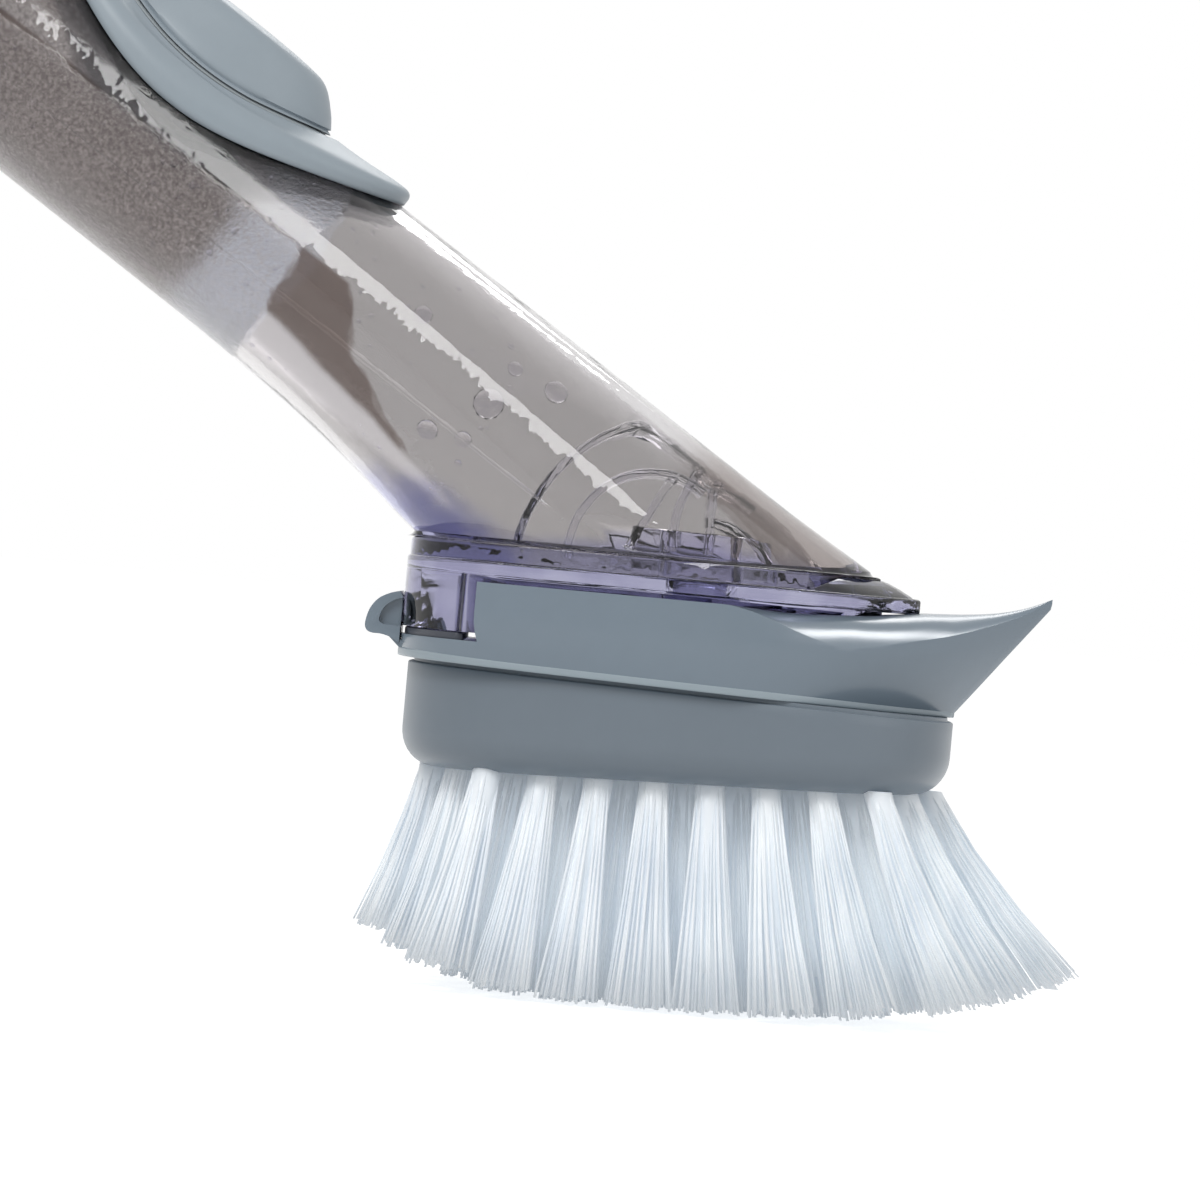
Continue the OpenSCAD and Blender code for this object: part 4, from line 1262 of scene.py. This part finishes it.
def clearBase():
    rear, tip, half = foot["flangeRear"], foot["flangeTip"], foot["flangeHalf"]
    low, flangeLow, wall = base["blockZ"], base["flangeZ"], base["wall"]
    top = flangeLow + base["flangeThick"]
    ledgeX = -tray["wallRear"] - base["gap"]

    def flange(inset):
        return pointedPlan(rear - inset, 16, 2, tip - 1.4 * inset, half - inset, 2.8, 2.2, 44)

    body = roundedSlab("clearBase", flange, flangeLow, top, 0.4)
    outline = pointedPlan(rear, 16, 2, tip, half - 0.2, 2.8, 2.2)
    rearBlock = slab("rearBlock", outline, low, flangeLow + 0.2)
    cut(rearBlock, block("ahead", (ledgeX, -40, 30), (80, 40, 80)))
    plugHalf = tray["half"] - tray["wall"] - base["gap"] - 0.2
    plug = pointedPlan(tray["wallRear"] + 2, tray["wallRear"], -2, tip - 5, plugHalf, 2, 2)
    x, y, z = tray["noseX"], tray["noseHalf"], tray["noseZ"]
    levels = []
    for level, back, narrower in prowLevels:
        outline = pointedPlan(10, 9, 2, tip - back, half - narrower, 2.8, 2.2)
        levels.append([toRow(px, py, level) for px, py in outline])
    prow = loft("prow", levels)
    bottleRoom = loft("bottleRoom", [flangeRing(level, -0.12) for level in (top + 0.02, 62)])
    slope = crossBar("slope", [(-60, 56.3), (14, 56.3), (22, 60), (22, 90), (-60, 90)], 40)
    cut(prow, bottleRoom, slope)
    join(
        body,
        rearBlock,
        slab("plug", plug, low, flangeLow + 0.2),
        rod("noseBar", x, z, tray["noseRadius"], y),
        block("web", (x - 8, -y, z - 0.72), (x, y, z + 0.72)),
        prow,
    )
    inner = plugHalf - wall
    room = pointedPlan(rear - 2 * wall - 0.6, 20, -6, tip - 5 - 3.4 * wall, inner, 2.4, 2)
    hollow = slab("hollow", room, low - 1, flangeLow)
    keepers = [slab("bossRoom", ovalPlan(9.5, 9.5, 64), low - 2, 60)]
    cutters = [
        hollow,
        slab("valveRoom", ovalPlan(7.1, 7.1, 64), low - 1, flangeLow - 1.2),
        slab("outlet", ovalPlan(4.5, 4.5, 48), low - 1, 62),
    ]
    for side in (-1, 1):
        y = side * inner * 0.5
        keepers.append(block("rib", (-30, y - wall / 2, low - 2), (30, y + wall / 2, 60)))
        x, z, edge = ledgeX - base["window"] - 1, low + 1.8, side * half
        corners = (x, edge - 3, z), (x + base["window"], edge + 3, z + base["window"])
        cutters.append(block("window", *corners))
    cut(hollow, *keepers)
    catchCorners = (-rear - 1, -4.9, low + 1.0), (-rear + 1.3, 4.9, low + 3.4)
    cut(body, *cutters, block("catchRoom", *catchCorners))
    body.data.materials.clear()
    body.data.materials.append(baseClear)
    return softenEdges(body, 0.18, 2, 40, 32)


# Outlet chamber: thin arches and a post that stand on the base inside the handle
chamber = {
    "half": 8.5,
    "thick": 1.1,
    "bossRadius": 9.5,
    "bossRise": 6.0,
    "bore": 4.5,
}
# Each strip in side view, with its share of the half width
strips = {
    "outletArch": (1.0, (
        (-24.4, 57.2), (-24.3, 60.2), (-23.0, 64.2), (-20.6, 68.4), (-17.4, 72.0), (-13.8, 74.4),
        (-10.0, 75.7), (-6.7, 75.9), (-4.0, 75.0), (-2.2, 72.8), (-1.4, 70.4), (-0.6, 69.0),
        (1.6, 68.6), (4.2, 69.0), (6.3, 69.5),
    )),
    "innerArch": (0.9, (
        (-17.8, 57.2), (-17.6, 60.4), (-16.4, 64.0), (-13.9, 67.3), (-10.4, 69.3), (-6.6, 69.8),
        (-3.2, 69.0), (-0.6, 67.6),
    )),
    "outletPost": (0.7, ((0.9, 58.6), (0.9, 62.0), (0.75, 65.0), (0.7, 68.4))),
    "longFin": (0.55, ((-9.6, 58.6), (-8.6, 61.5), (-6.8, 65.5), (-4.4, 70.0))),
    "shortFin": (0.65, ((-3.6, 58.6), (-3.9, 62.0), (-3.4, 66.0), (-1.8, 70.2))),
    "lowArch": (0.8, ((0.9, 64.0), (3.6, 63.4), (6.5, 61.8), (9.2, 59.2))),
}


# How high and how wide the room inside the handle is
def roomTop(x):
    return handle["topZ"] + (-2.9 - (x - handle["cornerX"]) * math.sin(slant)) / math.cos(slant)


def roomHalf(x, z):
    t = (x - handle["cornerX"]) * math.sin(slant) + (z - handle["topZ"]) * math.cos(slant)
    f = (t - handleMid) / (halfDepth - 2.2)
    return (halfWidth - 2.2) * math.sqrt(max(0.02, 1 - f * f))


def strip(name, points, half, thick):
    path = smoothPath([(x, min(z, roomTop(x))) for x, z in points])
    outer, inner = [], []
    for i, p in enumerate(path):
        tangent = (path[min(i + 1, len(path) - 1)] - path[max(i - 1, 0)]).normalized()
        normal = Vector((-tangent.y, tangent.x)) * thick / 2
        outer.append(p + normal)
        inner.append(p - normal)
    outline = outer + inner[::-1]
    rings = []
    for y, f in ((-1, 0.75), (-0.96, 1), (0.96, 1), (1, 0.75)):
        ring = []
        for i, p in enumerate(outline):
            middle = path[i if i < len(path) else 2 * len(path) - 1 - i]
            q = middle + (p - middle) * f
            ring.append(toRow(q.x, y * min(half, roomHalf(q.x, q.y)), q.y))
        rings.append(ring)
    piece = loft(name, rings, chamberClear)
    smoothEdges(piece.data, 40)
    return piece


def outletBoss():
    r, bore = chamber["bossRadius"], chamber["bore"]
    top = base["flangeZ"] + base["flangeThick"]
    low, high = top + 0.05, top + chamber["bossRise"]
    section = (
        (r, low), (r, high - 0.5), (r - 0.15, high - 0.15), (r - 0.5, high),
        (bore + 0.5, high), (bore + 0.15, high - 0.15), (bore, high - 0.5), (bore, low),
    )
    rings = [[toRow(q * math.cos(v), q * math.sin(v), z) for q, z in section] for v in circle(72)]
    piece = loft("outletBoss", rings, chamberClear, closed=True)
    smoothEdges(piece.data, 40)
    return piece


dress(clearBase(), "handle", "base_plate")
dress(outletBoss(), "handle", "outlet_chamber")
for name, (share, line) in strips.items():
    dress(strip(name, line, chamber["half"] * share, chamber["thick"]), "handle")
print("base and chamber made")

# Bellows under the button: its rim and its boot both stay with the handle

bellows = {
    "rim": (23.3, 13.5),
    "mouth": (18.5, 11.7),
    "low": -6.6,
    "pressed": 0.34,
}


def bellowsRim():
    rings = []
    for scale, grow in ((1, 0.15), (1, 0.9), (0.99, 1.15), (0, 1.15), (0, 0.15)):
        ring = []
        for edge, hole in zip(ovalPlan(*bellows["rim"]), ovalPlan(*bellows["mouth"])):
            p = Vector(hole) + (Vector(edge) - Vector(hole)) * scale
            ring.append(onHandle(button["at"] - p.x, surfaceHeight(grow, p.y), p.y))
        rings.append(ring)
    return loft("bellowsRim", rings, softGrey, closed=True)


# One turn of the boot, at a height or, without one, up on the web under the button
def bootRing(share, t, grow, under):
    ring = []
    for x, y in ovalPlan(button["halfLength"] * share, button["halfWidth"] * share):
        web = surfaceHeight(grow, y)
        ring.append(onHandle(button["at"] - x, web if t is None else min(t, web - under), y))
    return ring


def bellowsBoot():
    low = bellows["low"]
    outside = (
        (0.98, low), (1.0, low + 0.3), (1.0, -4.4), (0.965, -3.7), (1.0, -3.0), (1.0, None),
        (0.94, None), (0.3, None),
    )
    inside = (
        (0.3, None), (0.9, None), (0.94, -3.0), (0.905, -3.7), (0.94, -4.4), (0.94, low + 0.3),
        (0.94, low),
    )
    rings = [bootRing(share, t, 1.15, 0.2) for share, t in outside]
    rings += [bootRing(share, t, 0.15, 0.4) for share, t in inside]
    return loft("bellowsBoot", rings, softGrey, closed=True)


dress(bellowsRim(), "handle")
boot = dress(bellowsBoot(), "handle", "button_bellows")
anchor = tuple(onHandle(button["at"], bellows["low"]))
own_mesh(boot)

# The other pieces keep their solids' shapes
carried = (
    ("soap_valve", "soapValve", sealGrey, "handle", 0.12),
    ("valve_retainer", "valveRetainer", darkGrey, "handle", 0.15),
    ("outlet_seal", "outletSeal", sealGrey, "handle", 0.15),
    # The clamp ring's dark grey also stands in for painted shade under the collar's edge
    ("clamp_ring", "clampRing", darkGrey, "handle", 0.15),
    ("end_cap", "endCap", trayGrey, "cap", 0.3),
    ("cap_gasket", "capGasket", sealGrey, "cap_seal", 0.12),
)
for node, name, material, body, width in carried:
    dress(dressedNode(node, name, material, width), body, node)
print("small pieces dressed")

# Soap bubbles and drops on the wall of the handle

drops = {
    "seed": 12,
    "count": 620,
    "smallest": 0.14,
    "largest": 0.62,
    "flatness": 0.4,
    "sunk": 0.1,
    "aboveWater": (86, 163),
    "belowWater": (50, 90),
    "bubbles": (
        (53.771, -13.515, 2.1), (47.807, -7.088, 1.7), (57.97, -21.096, 1.5),
        (53.484, -19.243, 1.2), (67.771, -9.807, 1.3), (53.892, -7.997, 1.1),
    ),
}


def filmMaterial():
    material, tree, shader = newMaterial("soapFilm")
    swirl = noiseOf(objectPlace(tree), 520.0, 2.0)
    feed(shader, {
        "Transmission Weight": 1.0,
        "IOR": 1.12,
        "Base Color": blendColor(ramp(swirl, 0.4, 0.6), (0.86, 0.85, 0.9, 1), (0.96, 0.95, 0.97, 1)),
        "Roughness": swirl * 0.05 + 0.02,
    })
    return material


def dropTree():
    inputs = (("Geometry", "Geometry", None), ("Flatness", "Float", None), ("Material", "Material", None))
    tree, source, result = newGroup("soapDrops", inputs, (("Geometry", "Geometry"),), "Geometry")
    add = builder(tree)
    ball = add("GeometryNodeMeshIcoSphere", {"Radius": 1.0, "Subdivisions": 2}, "Mesh")
    width = add("GeometryNodeInputNamedAttribute", {"Name": "radius"}, "Attribute")
    facing = add("GeometryNodeInputNamedAttribute", {"Name": "facing"}, "Attribute", data_type="FLOAT_VECTOR")
    turn = add("FunctionNodeAlignEulerToVector", {"Vector": facing}, "Rotation", axis="Z")
    size = add("ShaderNodeCombineXYZ", {0: width, 1: width, 2: width * value(source, "Flatness")})
    sown = {"Points": value(source, "Geometry"), "Instance": ball, "Rotation": turn, "Scale": size}
    real = add("GeometryNodeRealizeInstances", {"Geometry": add("GeometryNodeInstanceOnPoints", sown)})
    painted = add("GeometryNodeSetMaterial", {"Geometry": real, "Material": value(source, "Material")})
    feed(result, {"Geometry": painted})
    return tree


def soapDrops():
    chance = random.Random(drops["seed"])
    a, b = halfDepth - handle["wall"], halfWidth - handle["wall"]
    spots = [(s, t, -1, radius) for s, t, radius in drops["bubbles"]]
    for i in range(drops["count"]):
        s = chance.uniform(*drops["aboveWater" if i % 9 else "belowWater"])
        t = handleMid + halfDepth * math.sin(chance.uniform(-1.3, 1.3)) * 0.94
        side = chance.choice((-1, -1, 1))
        radius = chance.uniform(drops["smallest"], drops["largest"]) * chance.uniform(0.4, 1)
        spots.append((s, t, side, radius))
    points, radii, facings = [], [], []
    for s, t, side, radius in spots:
        f = (t - handleMid) / a
        if abs(f) > 0.97:
            continue
        y = side * b * math.sqrt(1 - f * f)
        normal = (out * (f / a) + Vector((0, y / b ** 2, 0))).normalized()
        points.append(onHandle(s, t, y) - normal * (radius * drops["sunk"] / 1000))
        radii.append(radius / 1000)
        facings.append(normal)
    layers = {"radius": radii, "facing": facings}
    piece = makeObject("soapDrops", pointMesh("dropPlaces", points, layers))
    growOn(piece, dropTree(), {"Flatness": drops["flatness"], "Material": filmMaterial()}, layers)
    dress(piece, "handle")


soapDrops()
print("soap drops placed")

# Studio

studio = {
    "pixelsPerMm": 7.5,
    "pixels": 1200,
    "sensor": 36,
    "distance": 1000.0,
    "roll": 5.2,
    "elevation": 0.4,
    "aimX": -12.9,
    "aimZ": 52.5,
    "floorHalf": 6,
    "floorZ": -0.0004,
    "floorGlow": 0.62,
    "worldLow": 0.5,
    "worldSeen": 0.5,
}
lamps = {
    "keyLamp": ((-0.25, -0.7, 0.75), (0.03, 0, 0.06), (0.5, 0.35), 3.9),
    "fillLamp": ((0.75, -0.5, 0.35), (0.03, 0, 0.05), (0.5, 0.5), 0.8),
    "rimLamp": ((0.0, 0.7, 0.6), (0.03, 0, 0.06), (0.6, 0.3), 2.2),
    "crestLamp": ((0.52, -0.24, 0.91), (0.07, -0.02, 0.05), (0.9, 0.24), 13),
}
streak = {
    "aim": Vector((0.03, 0, 0.11)),
    "toLamp": Vector((0.304, -0.835, 0.458)) * 2,
    "size": (0.5, 0.85),
    "power": 22,
}


def makeCamera():
    distance = studio["distance"]
    data = bpy.data.cameras.new("camera")
    data.sensor_width = studio["sensor"]
    data.lens = studio["pixelsPerMm"] * studio["sensor"] / studio["pixels"] * distance
    data.clip_start, data.clip_end = 0.01, 20
    lift = math.radians(studio["elevation"])
    back = Vector((0, -math.cos(lift), math.sin(lift)))
    place = Matrix.Translation(toRow(studio["aimX"], 0, studio["aimZ"]) + back * distance / 1000)
    turn = (-back).to_track_quat("-Z", "Y").to_matrix().to_4x4()
    camera = makeObject("camera", data)
    camera.matrix_world = place @ turn @ Matrix.Rotation(math.radians(studio["roll"]), 4, "Z")
    bpy.context.scene.camera = camera


def makeLamp(name, place, aim, size, power):
    data = bpy.data.lights.new(name, "AREA")
    data.shape = "RECTANGLE"
    data.size, data.size_y = size
    data.energy = power
    lamp = makeObject(name, data)
    lamp.location = place
    lamp.rotation_euler = (Vector(aim) - Vector(place)).to_track_quat("-Z", "Y").to_euler()
    return lamp


# Leaves a lamp to be seen only as a reflection, and in one piece
def onlyReflected(lamp, piece):
    lamp.visible_diffuse = False
    lamp.visible_transmission = False
    lit = bpy.data.collections.new(lamp.name + "Receivers")
    lit.objects.link(bpy.data.objects[piece])
    lamp.light_linking.receiver_collection = lit


# 1 for rays that the camera sees straight, mirrored or through clear plastic
def seenRays(tree):
    rays = tree.nodes.new("ShaderNodeLightPath")
    seen = value(rays, "Is Camera Ray")
    for kind in ("Is Glossy Ray", "Is Transmission Ray"):
        seen = calc("MAXIMUM", seen, value(rays, kind))
    return seen


def makeFloor():
    half, z = studio["floorHalf"], studio["floorZ"]
    corners = [(-half, -half, z), (half, -half, z), (half, half, z), (-half, half, z)]
    mesh = bpy.data.meshes.new("floor")
    mesh.from_pydata(corners, [], [(0, 1, 2, 3)])
    material, tree, shader = newMaterial("paleFloor")
    feed(shader, {
        "Base Color": (0.82, 0.82, 0.82, 1),
        "Roughness": 0.9,
        "Specular IOR Level": 0.0,
        "Emission Color": (1, 1, 1, 1),
        "Emission Strength": seenRays(tree) * studio["floorGlow"],
    })
    makeObject("floor", mesh, material)


def makeWorld():
    world = bpy.data.worlds.new("studioWorld")
    bpy.context.scene.world = world
    world.use_nodes = True
    tree = world.node_tree
    strength = seenRays(tree) * studio["worldSeen"] + studio["worldLow"]
    feed(tree.nodes["Background"], {"Color": (1, 1, 1, 1), "Strength": strength})


makeCamera()
made = {name: makeLamp(name, *settings) for name, settings in lamps.items()}

# A long lamp, turned along the handle, makes its bright streak and another the band on the nose
aim = streak["aim"]
long = makeLamp("streakLamp", aim + streak["toLamp"], aim, streak["size"], streak["power"])
long.rotation_euler = (long.rotation_euler.to_matrix() @ Matrix.Rotation(-slant, 3, "Z")).to_euler()
onlyReflected(long, "clearHandle")
onlyReflected(made["crestLamp"], "headTray")
makeFloor()
makeWorld()
bpy.context.scene.view_settings.view_transform = "Standard"
print("studio set")
